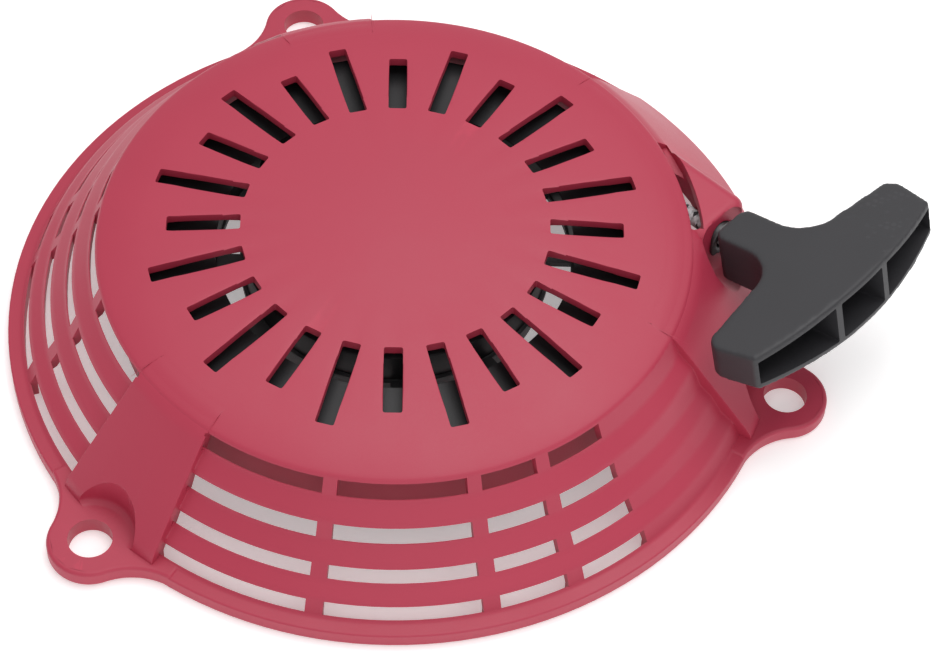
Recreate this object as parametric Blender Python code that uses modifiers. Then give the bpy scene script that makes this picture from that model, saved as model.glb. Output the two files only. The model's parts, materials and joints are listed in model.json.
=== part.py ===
"""Recoil starter of a small vertical-shaft engine: cover, reel, spring, ratchets, rope and T-handle.

Metres, +Z up. The origin is on the crank axis, in the plane of the cover's bolting face."""

from math import atan2, ceil, cos, degrees, pi, radians, sin, tan

import bmesh
import bpy
from mathutils import Matrix, Vector

MM = 0.001

# Fits
TOUCH_GAP = 0.3 * MM           # between pieces that rest on each other
RUN_GAP = 0.4 * MM             # round a piece that turns or slides
OVERCUT = 1.0 * MM             # how far a cutter runs past the face it opens

# Rope and the reel it winds on
ROPE_R = 2.0 * MM
ROPE_TURNS = 4
ROPE_Z = 26.2 * MM
ROPE_DIR_DEG = -58.0
DRUM_R = 46.3 * MM
REEL_RIM = 3.1 * MM            # how far the reel's flange stands past the rope
GUARD_GAP = 2.0 * MM           # between the reel's flange and the guard wall
GUARD_WALL = 1.8 * MM
GUARD_FOOT_Z = 14.2 * MM

# Cover
TURN_STEPS = 60
COVER_HEIGHT = 38.5 * MM
DISC_MARGIN = 3.6 * MM         # from the guard wall out to the disc's edge
DISC_MIDDLE_R = 38.0 * MM
DISC_MIDDLE_DROP = 1.1 * MM
DISC_SHOULDER = 11.7 * MM      # the disc's edge rolls over in this width
DISC_SHOULDER_DROP = 3.0 * MM
DISC_ROLL = 4.1 * MM
DISC_ROLL_DROP = 4.1 * MM
DISC_EDGE_DROP = 5.6 * MM
SIDE_RUN = 20.6 * MM           # from the disc's edge out to the flange
FLANGE_WIDTH = 3.6 * MM
FLANGE_Z = 4.0 * MM
WALL = 2.4 * MM

# Louvre steps down the side, as shares of its run and of its fall: where each steep part starts and ends
STEP_TOPS = ((0.0, 0.0), (0.308, 0.311), (0.593, 0.599), (0.888, 0.831))
STEP_FEET = ((0.117, 0.184), (0.425, 0.491), (0.724, 0.749), (1.0, 0.993))
OPENING_LIFT = 0.5 * MM        # wall left above and below each opening

# Slots in the disc
SLOT_COUNT = 24
SLOT_INNER_R = 38.0 * MM
SLOT_LONG = 23.4 * MM
SLOT_SHORT = 18.2 * MM
SLOT_WIDTH = 4.6 * MM

# Louvre openings: the plain ribs between them, and where each stretch starts and ends
RIB_WIDTH_DEG = 2.6
FRONT_ENDS_DEG = (219.0, 296.0)
FRONT_RIBS_DEG = (244.0, 270.0, 283.2)
LEFT_ENDS_DEG = (101.0, 200.9)
LEFT_RIBS_DEG = (124.0, 147.0, 157.0, 180.0)
ROPE_WINDOW_DEG = (-12.0, 11.0)
ROPE_WINDOW_WIDTH = 3.1 * MM
SECTOR_STEP_DEG = 6.0

# Bolt lugs
LUG_ANGLES_DEG = (90.0, 210.0, 330.0)
BOLT_OUTSET = 3.7 * MM         # from the flange's edge to the bolt
BOLT_HOLE_R = 5.4 * MM
LUG_TIP_R = 10.5 * MM
LUG_FILLET_R = 17.0 * MM
LUG_ROOT = 5.0 * MM            # how far a lug reaches into the flange
LUG_Z = 4.6 * MM
RECESS_R = 11.0 * MM
RAMP_HALF_DEG = 9.4
RAMP_PROUD = 1.2 * MM
RAMP_FOOT_PROUD = 2.4 * MM
RAMP_HEAD_RUN = 6.0 * MM

# Rope hood, along and across the rope
MOUTH_INSET = 12.0 * MM        # from the flange's inner edge to the mouth's middle
HOOD_BACK = 14.0 * MM
HOOD_INNER_SIDE = 8.6 * MM
HOOD_OUTER_SIDE = 9.8 * MM
HOOD_ROOF = 2.6 * MM
HOOD_ROUND = 2.5 * MM
CHANNEL_SIDE = 3.8 * MM        # free width beside the rope
CHANNEL_OVER = 2.0 * MM
CHANNEL_UNDER = 2.8 * MM
CHANNEL_START = 12.0 * MM
MOUTH_WALL = 4.5 * MM
VALLEY_R = 12.0 * MM           # hollow round the handle's stem
SLOPE_END_DEG = 392.0          # the plain slope round the hood runs from the last lug to here

# Rope guide
GUIDE_LIP_R = 5.2 * MM
GUIDE_LIP_T = 0.9 * MM
GUIDE_WALL = 1.3 * MM
GUIDE_CLEARANCE = 0.7 * MM     # round the rope in its guide

# Reel
POST_R = 9.0 * MM
REEL_BASE_Z = 17.2 * MM
REEL_FLOOR_T = 2.0 * MM
CUP_SETBACK = 10.9 * MM        # from the drum in to the spring's cup
CUP_WALL = 2.2 * MM
CUP_TOP_Z = 32.4 * MM
REEL_HUB_WALL = 3.0 * MM
WINDOW_INNER_EDGE = 1.0 * MM
WINDOW_OUTER_EDGE = 0.5 * MM
FLANGE_PLATE_T = 1.5 * MM
DRUM_WALL = 2.0 * MM
REEL_WINDOWS = 12
WINDOW_DEG = 21.0
WINDOW_PHASE_DEG = 3.6

# Recoil spring
SPRING_TURNS = 6
SPRING_T = 0.6 * MM
SPRING_POINTS = 20
SPRING_SIDE_GAP = 0.7 * MM

# Ratchets and their guide
RATCHET_ANGLES_DEG = (0.0, 180.0)
PIVOT_R = 19.0 * MM
PIN_R = 2.5 * MM
RATCHET_T = 3.0 * MM
RATCHET_BOSS = 2.4 * MM
RATCHET_REACH = 15.0 * MM
RATCHET_TIP_R = 1.9 * MM
RATCHET_SWING_DEG = 35.0
GUIDE_SWING_DEG = 25.0
PEG_AT = 8.0 * MM
PEG_R = 1.3 * MM
RATCHET_SPRING_R = 0.35 * MM
RATCHET_SPRING_TURNS = 1.5
RATCHET_SPRING_GAP = 0.1 * MM   # between one turn and the next
RATCHET_SPRING_LEG = 1.5 * MM   # how far the spring's ends reach past the boss
RATCHET_SPRING_FACETS = 14
GUIDE_DISC_R = 28.5 * MM
GUIDE_DISC_T = 2.2 * MM
GUIDE_SLOT_STEPS = 5

# Centre screw and what it clamps
SCREW_R = 2.9 * MM
SCREW_DEPTH = 15.0 * MM
SCREW_HEAD_R = 8.0 * MM
SCREW_HEAD_T = 2.6 * MM
HEX_SOCKET_R = 3.0 * MM
HEX_SOCKET_DEPTH = 1.8 * MM
INSERT_WALL = 2.2 * MM
COLLAR_WALL = 1.8 * MM
WASHER_R = 12.4 * MM
WASHER_T = 1.2 * MM
FRICTION_R = 0.5 * MM
FRICTION_RING_R = 6.4 * MM

# Handle, along the rope from its nose
NOSE_ROUND = 2.5 * MM
HANDLE_PITCH_DEG = 15.5        # the rope bends up over its guide by this much
STEM_LENGTH = 20.7 * MM
STEM_HALF_WIDTH = 6.2 * MM
BAR_HALF_LENGTH = 36.0 * MM
BAR_DEPTH = 14.5 * MM
BAR_BULGE = 6.5 * MM
BAR_SHOULDER = 1.0 * MM        # how far the bar's ends are set out from the stem's end
NECK_FILLET = 10.0 * MM
BAR_END_R = 4.0 * MM
HANDLE_HEIGHT = 14.2 * MM
BAR_END_HEIGHT = 9.6 * MM
HANDLE_ROUND = 1.2 * MM
HANDLE_WALL = 2.2 * MM
POCKET_RIB = 1.8 * MM
MIDDLE_POCKET_HALF = 7.2 * MM
MIDDLE_POCKET_TAPER = 0.6       # its narrow end as a share of its wide end
POCKET_EXTRA_WALL = 1.0 * MM
KNOT_DEPTH = 12.0 * MM
KNOT_R = 3.3 * MM
KNOT_WASHER_R = 3.9 * MM
KNOT_WASHER_T = 0.8 * MM
REEL_KNOT_R = 2.6 * MM
REEL_KNOT_WINDOW = 4

RED = (0.50, 0.075, 0.125)
BLACK = (0.045, 0.045, 0.05)
GREY_PLASTIC = (0.05, 0.05, 0.055)
STEEL = (0.55, 0.55, 0.56)
BRASS = (0.65, 0.48, 0.22)
ROPE_GREY = (0.62, 0.62, 0.64)

rope_dir = Vector((cos(radians(ROPE_DIR_DEG)), sin(radians(ROPE_DIR_DEG)), 0.0))
rope_side = Vector((-rope_dir.y, rope_dir.x, 0.0))
rope_outer_r = DRUM_R + TOUCH_GAP + 2 * ROPE_R * ROPE_TURNS
rope_offset = rope_outer_r - ROPE_R
reel_r = rope_outer_r + TOUCH_GAP + REEL_RIM
guard_r = reel_r + GUARD_GAP
disc_edge_r = guard_r + GUARD_WALL + DISC_MARGIN
side_r = disc_edge_r + SIDE_RUN
flange_r = side_r + FLANGE_WIDTH
bolt_r = flange_r + BOLT_OUTSET
hood_mouth = ((side_r - MOUTH_INSET) ** 2 - rope_offset ** 2) ** 0.5
handle_nose = TOUCH_GAP + HANDLE_HEIGHT / 2 * tan(radians(HANDLE_PITCH_DEG))
guide_bore_r = ROPE_R + GUIDE_CLEARANCE
channel_half = ROPE_R + CHANNEL_SIDE
channel_z = (ROPE_Z - ROPE_R - CHANNEL_UNDER, ROPE_Z + ROPE_R + CHANNEL_OVER)
hood_top_z = channel_z[1] + HOOD_ROOF
rope_frame = Matrix.Translation(rope_side * rope_offset) @ Matrix.Rotation(radians(ROPE_DIR_DEG), 4, "Z")
pull_start = Matrix.Translation((hood_mouth + GUIDE_LIP_T, 0.0, ROPE_Z))
pull_frame = rope_frame @ pull_start @ Matrix.Rotation(-radians(HANDLE_PITCH_DEG), 4, "Y")

for leftover in list(bpy.data.objects):
    bpy.data.objects.remove(leftover, do_unlink=True)
parts = bpy.data.collections.new("recoil_starter")
cutters = bpy.data.collections.new("cutters")
bpy.context.scene.collection.children.link(parts)
bpy.context.scene.collection.children.link(cutters)


def material(name, colour, roughness, metallic=0.0):
    """A plain material of one colour."""
    made = bpy.data.materials.new(name)
    made.use_nodes = True
    shader = made.node_tree.nodes["Principled BSDF"]
    shader.inputs["Base Color"].default_value = (*colour, 1.0)
    shader.inputs["Roughness"].default_value = roughness
    shader.inputs["Metallic"].default_value = metallic
    return made


def link(obj, group, finish=None):
    """Puts an object in the parts or among the cutters."""
    group.objects.link(obj)
    if group is cutters:
        obj.hide_render = True
        obj.display_type = "WIRE"
    if finish:
        obj.data.materials.append(finish)
    return obj


def mesh_object(name, bm, group, finish=None):
    """An object from a bmesh, its faces turned outwards."""
    bmesh.ops.recalc_face_normals(bm, faces=bm.faces)
    mesh = bpy.data.meshes.new(name)
    bm.to_mesh(mesh)
    bm.free()
    return link(bpy.data.objects.new(name, mesh), group, finish)


def turned(name, outline, group, finish=None, steps=TURN_STEPS, closed=True):
    """A turned shape: an outline of (radius, height), run from the top down its outer side."""
    mesh = bpy.data.meshes.new(name)
    edges = [(i, i + 1) for i in range(len(outline) - 1)]
    if closed:
        edges.append((len(outline) - 1, 0))
    mesh.from_pydata([(r, 0.0, z) for r, z in outline], edges, [])
    made = link(bpy.data.objects.new(name, mesh), group, finish)
    screw = made.modifiers.new("turn", "SCREW")
    screw.steps = steps
    screw.render_steps = steps
    screw.use_merge_vertices = True
    screw.merge_threshold = 0.01 * MM
    screw.use_smooth_shade = True
    return made


def prism(name, outline, z0, z1, group, finish=None):
    """A flat outline of (x, y) raised from z0 to z1."""
    bm = bmesh.new()
    add_prism(bm, outline, z0, z1)
    return mesh_object(name, bm, group, finish)


def add_prism(bm, outline, z0, z1, matrix=None):
    """Adds a raised outline to a bmesh."""
    verts = [bm.verts.new((x, y, z0)) for x, y in outline]
    face = bm.faces.new(verts)
    grown = bmesh.ops.extrude_face_region(bm, geom=[face])["geom"]
    raised = [v for v in grown if isinstance(v, bmesh.types.BMVert)]
    bmesh.ops.translate(bm, verts=raised, vec=(0.0, 0.0, z1 - z0))
    if matrix:
        bmesh.ops.transform(bm, matrix=matrix, verts=verts + raised)


def add_sector(bm, section, start_deg, end_deg):
    """Adds the solid that a section of (radius, height) sweeps between two angles."""
    turn = Matrix.Rotation(radians(start_deg), 4, "Z")
    verts = [bm.verts.new(turn @ Vector((r, 0.0, z))) for r, z in section]
    face = bm.faces.new(verts)
    steps = max(1, ceil((end_deg - start_deg) / SECTOR_STEP_DEG))
    bmesh.ops.spin(
        bm, geom=[face, *face.edges, *face.verts], axis=(0, 0, 1), cent=(0, 0, 0),
        angle=radians(end_deg - start_deg), steps=steps, use_duplicate=False,
    )


def box_outline(x0, x1, y0, y1):
    return [(x0, y0), (x1, y0), (x1, y1), (x0, y1)]


def arc(cx, cy, r, start_deg, end_deg, steps):
    """Points along an arc, both ends included."""
    return [
        (cx + r * cos(radians(start_deg + (end_deg - start_deg) * i / steps)),
         cy + r * sin(radians(start_deg + (end_deg - start_deg) * i / steps)))
        for i in range(steps + 1)
    ]


def circle(r, steps):
    return [(r * cos(2 * pi * i / steps), r * sin(2 * pi * i / steps)) for i in range(steps)]


def combine(target, other, operation):
    """Cuts, joins or keeps what is common, with the exact solver."""
    step = target.modifiers.new(other.name, "BOOLEAN")
    step.operation = operation
    step.solver = "EXACT"
    step.object = other
    return target


def cylinder(name, r, z0, z1, group, finish=None, steps=24):
    return turned(name, [(0.0, z1), (r, z1), (r, z0), (0.0, z0)], group, finish, steps, closed=False)


def ring(name, inner, outer, z0, z1, group, finish=None, steps=32):
    return turned(name, [(inner, z1), (outer, z1), (outer, z0), (inner, z0)], group, finish, steps)


def wire(name, points, radius, finish, resolution=2, cyclic=False):
    """A round wire along its points, closed at its ends."""
    curve = bpy.data.curves.new(name, "CURVE")
    curve.dimensions = "3D"
    curve.bevel_depth = radius
    curve.bevel_resolution = resolution
    curve.use_fill_caps = not cyclic
    spline = curve.splines.new("POLY")
    spline.points.add(len(points) - 1)
    for point, place in zip(spline.points, points):
        point.co = (*place, 1.0)
    spline.use_cyclic_u = cyclic
    return link(bpy.data.objects.new(name, curve), parts, finish)


def place(obj, matrix):
    obj.matrix_world = matrix
    return obj


def smooth(obj, angle_deg=35.0):
    obj.data.shade_smooth()
    obj.data.set_sharp_from_angle(angle=radians(angle_deg))
    return obj


red_plastic = material("red_plastic", RED, 0.5)
black_plastic = material("black_plastic", BLACK, 0.55)
reel_plastic = material("reel_plastic", GREY_PLASTIC, 0.5)
steel = material("steel", STEEL, 0.35, 1.0)
brass = material("brass", BRASS, 0.35, 1.0)
rope_fibre = material("rope_fibre", ROPE_GREY, 0.9)

# ---------------------------------------------------------------- heights that follow from the sizes above
washer_top = REEL_BASE_Z - TOUCH_GAP
post_end = washer_top
washer_base = washer_top - WASHER_T
ratchet_top = REEL_BASE_Z - TOUCH_GAP
ratchet_base = ratchet_top - RATCHET_T
ratchet_spring_z = ratchet_base - TOUCH_GAP - RATCHET_SPRING_R
ratchet_spring_rise = 2 * RATCHET_SPRING_R + RATCHET_SPRING_GAP
ratchet_spring_foot = ratchet_spring_z - ratchet_spring_rise * RATCHET_SPRING_TURNS
pin_foot = ratchet_spring_foot - RATCHET_SPRING_R
guide_top = pin_foot - TOUCH_GAP
guide_base = guide_top - GUIDE_DISC_T
friction_z = guide_base - TOUCH_GAP - FRICTION_R
head_top = friction_z - FRICTION_R - TOUCH_GAP
head_base = head_top - SCREW_HEAD_T
collar_base = head_top + TOUCH_GAP
collar_top = washer_base - TOUCH_GAP
collar_bore = SCREW_R + TOUCH_GAP
collar_r = collar_bore + COLLAR_WALL
plate_top = ROPE_Z - ROPE_R - TOUCH_GAP
plate_base = plate_top - FLANGE_PLATE_T
drum_top = ROPE_Z + ROPE_R + TOUCH_GAP + FLANGE_PLATE_T
cup_inner_r = DRUM_R - CUP_SETBACK
cup_outer_r = cup_inner_r + CUP_WALL
floor_top = REEL_BASE_Z + REEL_FLOOR_T
window_inner_r = cup_outer_r + WINDOW_INNER_EDGE
window_outer_r = DRUM_R - DRUM_WALL - WINDOW_OUTER_EDGE
reel_bore = POST_R + RUN_GAP


def on_side(share):
    """A point on the side from its shares of the run and of the fall."""
    edge_z = COVER_HEIGHT - DISC_EDGE_DROP
    return disc_edge_r + share[0] * SIDE_RUN, edge_z - share[1] * (edge_z - FLANGE_Z)


step_tops = [on_side(share) for share in STEP_TOPS]
step_feet = [on_side(share) for share in STEP_FEET]


def cover_outline():
    """The cover's outer side, from the disc's centre down to the flange."""
    outline = [
        (0.0, COVER_HEIGHT),
        (DISC_MIDDLE_R, COVER_HEIGHT - DISC_MIDDLE_DROP),
        (disc_edge_r - DISC_SHOULDER, COVER_HEIGHT - DISC_SHOULDER_DROP),
        (disc_edge_r - DISC_ROLL, COVER_HEIGHT - DISC_ROLL_DROP),
    ]
    for top, foot in zip(step_tops, step_feet):
        outline += [top, foot]
    return outline


def inset(outline, depth):
    """The outline moved inwards by the wall."""
    moved = []
    for i, (r, z) in enumerate(outline):
        ahead = outline[min(i + 1, len(outline) - 1)]
        behind = outline[max(i - 1, 0)]
        before = Vector((r - behind[0], z - behind[1])) if i else Vector((1.0, 0.0))
        after = Vector((ahead[0] - r, ahead[1] - z)) if i < len(outline) - 1 else before
        n0 = Vector((before.y, -before.x)).normalized()
        n1 = Vector((after.y, -after.x)).normalized()
        half = (n0 + n1).normalized()
        reach = depth / max(half.dot(n0), 0.5)
        moved.append((r + half.x * reach if i else 0.0, z + half.y * reach))
    return moved


def lug_outline(angle_deg):
    """A lug in plan: a round tip with hollow fillets down to the flange circle."""
    reach = flange_r + LUG_FILLET_R
    tip_reach = LUG_TIP_R + LUG_FILLET_R
    cosine = (reach ** 2 + bolt_r ** 2 - tip_reach ** 2) / (2 * reach * bolt_r)
    spread = atan2((1 - cosine ** 2) ** 0.5, cosine)
    fx, fy = reach * cos(spread), reach * sin(spread)
    root = degrees(spread)
    tip = degrees(atan2(fy, fx - bolt_r))
    inner_r = flange_r - LUG_ROOT
    points = [(inner_r * cos(spread), -inner_r * sin(spread))]
    points += arc(fx, -fy, LUG_FILLET_R, 180.0 - root, 180.0 - tip, 6)
    points += arc(bolt_r, 0.0, LUG_TIP_R, -tip, tip, 12)[1:-1]
    points += arc(fx, fy, LUG_FILLET_R, 180.0 + tip, 180.0 + root, 6)
    points += [(inner_r * cos(spread), inner_r * sin(spread))]
    turn = Matrix.Rotation(radians(angle_deg), 4, "Z")
    return [tuple((turn @ Vector((x, y, 0.0)))[:2]) for x, y in points]


def stretches(ends, ribs):
    """The openings between the ribs of one stretch."""
    starts = [ends[0]] + [rib + RIB_WIDTH_DEG / 2 for rib in ribs]
    stops = [rib - RIB_WIDTH_DEG / 2 for rib in ribs] + [ends[1]]
    return list(zip(starts, stops))


def opening_section(top, foot):
    """The section of one louvre opening, through the wall's steep part."""
    inner, sill = top[0] - WALL - OVERCUT, foot[0] - OPENING_LIFT
    return [
        (inner, top[1] - WALL), (top[0] + OVERCUT, top[1] - OPENING_LIFT), (foot[0] + OVERCUT, foot[1] + OPENING_LIFT),
        (sill, foot[1] + OPENING_LIFT), (sill, foot[1] - 2 * WALL), (inner, foot[1] - 2 * WALL),
    ]


def build_cover():
    outline = cover_outline()
    skirt = [(flange_r, FLANGE_Z), (flange_r, 0.0), (0.0, 0.0)]
    housing = turned("housing", outline + skirt, parts, red_plastic, closed=False)

    bm = bmesh.new()
    for angle in LUG_ANGLES_DEG:
        add_prism(bm, lug_outline(angle), 0.0, LUG_Z)
    combine(housing, mesh_object("lugs", bm, cutters), "UNION")

    bm = bmesh.new()
    edge_r, edge_z = step_tops[0]
    ramp = [
        (edge_r - RAMP_HEAD_RUN, edge_z + RAMP_PROUD), (edge_r, edge_z + RAMP_PROUD),
        (flange_r, FLANGE_Z + RAMP_FOOT_PROUD), (flange_r, 0.0), (edge_r - RAMP_HEAD_RUN, 0.0),
    ]
    for angle in LUG_ANGLES_DEG:
        end = SLOPE_END_DEG if angle == LUG_ANGLES_DEG[-1] else angle + RAMP_HALF_DEG
        add_sector(bm, ramp, angle - RAMP_HALF_DEG, end)
    combine(housing, mesh_object("ramps", bm, cutters), "UNION")

    hood_outline = box_outline(HOOD_BACK, hood_mouth, -HOOD_INNER_SIDE, HOOD_OUTER_SIDE)
    hood = place(prism("hood", hood_outline, 0.0, hood_top_z, cutters), rope_frame)
    edge = hood.modifiers.new("round", "BEVEL")
    edge.width = HOOD_ROUND
    edge.segments = 2
    combine(housing, hood, "UNION")

    along = rope_frame @ Matrix.Translation((hood_mouth, 0.0, ROPE_Z)) @ Matrix.Rotation(pi / 2, 4, "Y")
    cavity_side = inset(outline, WALL)
    cavity_side[-1] = (cavity_side[-1][0], FLANGE_Z)
    cavity = cavity_side + [(cavity_side[-1][0], -OVERCUT), (0.0, -OVERCUT)]
    cavity = turned("cavity", cavity, cutters, closed=False)
    bosses = bmesh.new()
    for angle in LUG_ANGLES_DEG:
        centre = Matrix.Rotation(radians(angle), 4, "Z") @ Matrix.Translation((bolt_r, 0.0, 0.0))
        add_prism(bosses, circle(RECESS_R + WALL, 24), -2 * OVERCUT, COVER_HEIGHT, centre)
    combine(cavity, mesh_object("recess_walls", bosses, cutters), "DIFFERENCE")
    valley_wall = cylinder("valley_wall", VALLEY_R + WALL, -WALL, flange_r, cutters, steps=30)
    combine(cavity, place(valley_wall, along), "DIFFERENCE")
    combine(housing, cavity, "DIFFERENCE")

    roof = COVER_HEIGHT - DISC_ROLL_DROP - WALL / 2
    combine(housing, cylinder("post", POST_R, post_end, COVER_HEIGHT - WALL / 2, cutters), "UNION")
    guard = ring("guard", guard_r, guard_r + GUARD_WALL, GUARD_FOOT_Z, roof, cutters, steps=TURN_STEPS)
    combine(housing, guard, "UNION")

    bm = bmesh.new()
    add_prism(bm, box_outline(CHANNEL_START, hood_mouth - MOUTH_WALL, -channel_half, channel_half),
              *channel_z)
    combine(housing, place(mesh_object("rope_channel", bm, cutters), rope_frame), "DIFFERENCE")
    bore_r = guide_bore_r + GUIDE_WALL + TOUCH_GAP
    lip_r = GUIDE_LIP_R + TOUCH_GAP
    mouth = cylinder("rope_bore", bore_r, -2 * MOUTH_WALL, OVERCUT, cutters, steps=20)
    combine(housing, place(mouth, along), "DIFFERENCE")
    valley = cylinder("valley", VALLEY_R, 0.0, flange_r, cutters, steps=30)
    combine(housing, place(valley, along), "DIFFERENCE")

    bm = bmesh.new()
    for k in range(SLOT_COUNT):
        outer = SLOT_INNER_R + (SLOT_LONG if k % 2 == 0 else SLOT_SHORT)
        spoke = Matrix.Rotation(2 * pi * k / SLOT_COUNT, 4, "Z")
        add_prism(bm, box_outline(SLOT_INNER_R, outer, -SLOT_WIDTH / 2, SLOT_WIDTH / 2),
                  CUP_TOP_Z, COVER_HEIGHT + OVERCUT, spoke)
    combine(housing, mesh_object("disc_slots", bm, cutters), "DIFFERENCE")

    bm = bmesh.new()
    openings = stretches(FRONT_ENDS_DEG, FRONT_RIBS_DEG) + stretches(LEFT_ENDS_DEG, LEFT_RIBS_DEG)
    for top, foot in zip(step_tops, step_feet):
        for start, stop in openings:
            add_sector(bm, opening_section(top, foot), start, stop)
    combine(housing, mesh_object("louvres", bm, cutters), "DIFFERENCE")
    bm = bmesh.new()
    high, low = COVER_HEIGHT, channel_z[1] - OVERCUT
    window = [(edge_r, high), (edge_r + ROPE_WINDOW_WIDTH, high), (edge_r + ROPE_WINDOW_WIDTH, low), (edge_r, low)]
    add_sector(bm, window, *ROPE_WINDOW_DEG)
    combine(housing, mesh_object("rope_window", bm, cutters), "DIFFERENCE")

    for k, angle in enumerate(LUG_ANGLES_DEG):
        profile = [(0.0, COVER_HEIGHT), (RECESS_R, COVER_HEIGHT), (RECESS_R, LUG_Z), (BOLT_HOLE_R, LUG_Z),
                   (BOLT_HOLE_R, -OVERCUT), (0.0, -OVERCUT)]
        hole = turned(f"bolt_hole_{k}", profile, cutters, steps=24, closed=False)
        place(hole, Matrix.Rotation(radians(angle), 4, "Z") @ Matrix.Translation((bolt_r, 0.0, 0.0)))
        combine(housing, hole, "DIFFERENCE")

    insert_r = SCREW_R + INSERT_WALL + 2 * TOUCH_GAP
    socket = cylinder("insert_socket", insert_r, post_end - OVERCUT, post_end + SCREW_DEPTH, cutters, steps=20)
    combine(housing, socket, "DIFFERENCE")

    bore = SCREW_R + TOUCH_GAP
    ring("post_insert", bore, bore + INSERT_WALL, post_end, post_end + SCREW_DEPTH - TOUCH_GAP, parts, brass, 20)

    lip, body = lip_r - TOUCH_GAP, guide_bore_r + GUIDE_WALL
    eyelet = [(guide_bore_r, GUIDE_LIP_T), (lip, GUIDE_LIP_T), (lip, TOUCH_GAP), (body, TOUCH_GAP),
              (body, -MOUTH_WALL), (guide_bore_r, -MOUTH_WALL)]
    place(turned("rope_guide", eyelet, parts, steel, steps=20), along)


def build_reel():
    outline = [
        (reel_bore, CUP_TOP_Z), (reel_bore + REEL_HUB_WALL, CUP_TOP_Z), (reel_bore + REEL_HUB_WALL, floor_top),
        (cup_inner_r, floor_top), (cup_inner_r, CUP_TOP_Z), (cup_outer_r, CUP_TOP_Z), (cup_outer_r, plate_top),
        (DRUM_R - DRUM_WALL, plate_top), (DRUM_R - DRUM_WALL, drum_top), (rope_outer_r, drum_top),
        (rope_outer_r, drum_top - FLANGE_PLATE_T), (DRUM_R, drum_top - FLANGE_PLATE_T), (DRUM_R, plate_top),
        (reel_r, plate_top), (reel_r, plate_base), (cup_outer_r, plate_base), (cup_outer_r, REEL_BASE_Z),
        (reel_bore, REEL_BASE_Z),
    ]
    reel = turned("reel", outline, parts, reel_plastic, steps=48)
    bm = bmesh.new()
    section = [(window_inner_r, plate_base - OVERCUT), (window_outer_r, plate_base - OVERCUT),
               (window_outer_r, plate_top + OVERCUT), (window_inner_r, plate_top + OVERCUT)]
    for k in range(REEL_WINDOWS):
        middle = window_middle_deg(k)
        add_sector(bm, section, middle - WINDOW_DEG / 2, middle + WINDOW_DEG / 2)
    combine(reel, mesh_object("reel_windows", bm, cutters), "DIFFERENCE")
    for k, angle in enumerate(RATCHET_ANGLES_DEG):
        pin = cylinder(f"pin_{k}", PIN_R, pin_foot, floor_top - REEL_FLOOR_T / 2, cutters, steps=16)
        combine(reel, place(pin, pivot_frame(angle)), "UNION")
    hole = cylinder("knot_hole", ROPE_R + TOUCH_GAP, 0.0, 3 * DRUM_WALL, cutters, steps=12)
    turn = Matrix.Rotation(radians(window_middle_deg(REEL_KNOT_WINDOW)), 4, "Z")
    place(hole, turn @ Matrix.Translation((DRUM_R - 2 * DRUM_WALL, 0.0, ROPE_Z)) @ Matrix.Rotation(pi / 2, 4, "Y"))
    combine(reel, hole, "DIFFERENCE")


def window_middle_deg(k):
    return WINDOW_PHASE_DEG + 360.0 * k / REEL_WINDOWS


def pivot_frame(angle_deg):
    return Matrix.Rotation(radians(angle_deg), 4, "Z") @ Matrix.Translation((PIVOT_R, 0.0, 0.0))


def build_recoil_spring():
    """A flat strip wound in a spiral, its outer turns against the reel's cup."""
    inner = reel_bore + REEL_HUB_WALL + 2 * SPRING_SIDE_GAP
    outer = cup_inner_r - SPRING_SIDE_GAP
    count = SPRING_TURNS * SPRING_POINTS
    middle = []
    for i in range(count + 1):
        r = inner + (outer - inner) * i / count
        a = 2 * pi * i / SPRING_POINTS
        middle.append((r, a))
    near = [((r - SPRING_T / 2) * cos(a), (r - SPRING_T / 2) * sin(a)) for r, a in middle]
    far = [((r + SPRING_T / 2) * cos(a), (r + SPRING_T / 2) * sin(a)) for r, a in middle]
    bm = bmesh.new()
    z0, z1 = floor_top + SPRING_SIDE_GAP, CUP_TOP_Z - SPRING_SIDE_GAP
    rows = [[bm.verts.new((*p, z)) for p, z in ((n, z0), (n, z1), (f, z1), (f, z0))] for n, f in zip(near, far)]
    for a, b in zip(rows, rows[1:]):
        for k in range(4):
            bm.faces.new((a[k], a[(k + 1) % 4], b[(k + 1) % 4], b[k]))
    bm.faces.new(rows[0])
    bm.faces.new(rows[-1])
    mesh_object("recoil_spring", bm, parts, steel)


def peg_path():
    """Where a ratchet's peg stands in the turning guide, from rest to full swing."""
    path = []
    for i in range(GUIDE_SLOT_STEPS + 1):
        share = i / GUIDE_SLOT_STEPS
        arm = radians(-90.0 + RATCHET_SWING_DEG * share)
        x, y = PIVOT_R + PEG_AT * cos(arm), PEG_AT * sin(arm)
        back = -radians(GUIDE_SWING_DEG * share)
        path.append((x * cos(back) - y * sin(back), x * sin(back) + y * cos(back)))
    return path


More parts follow.
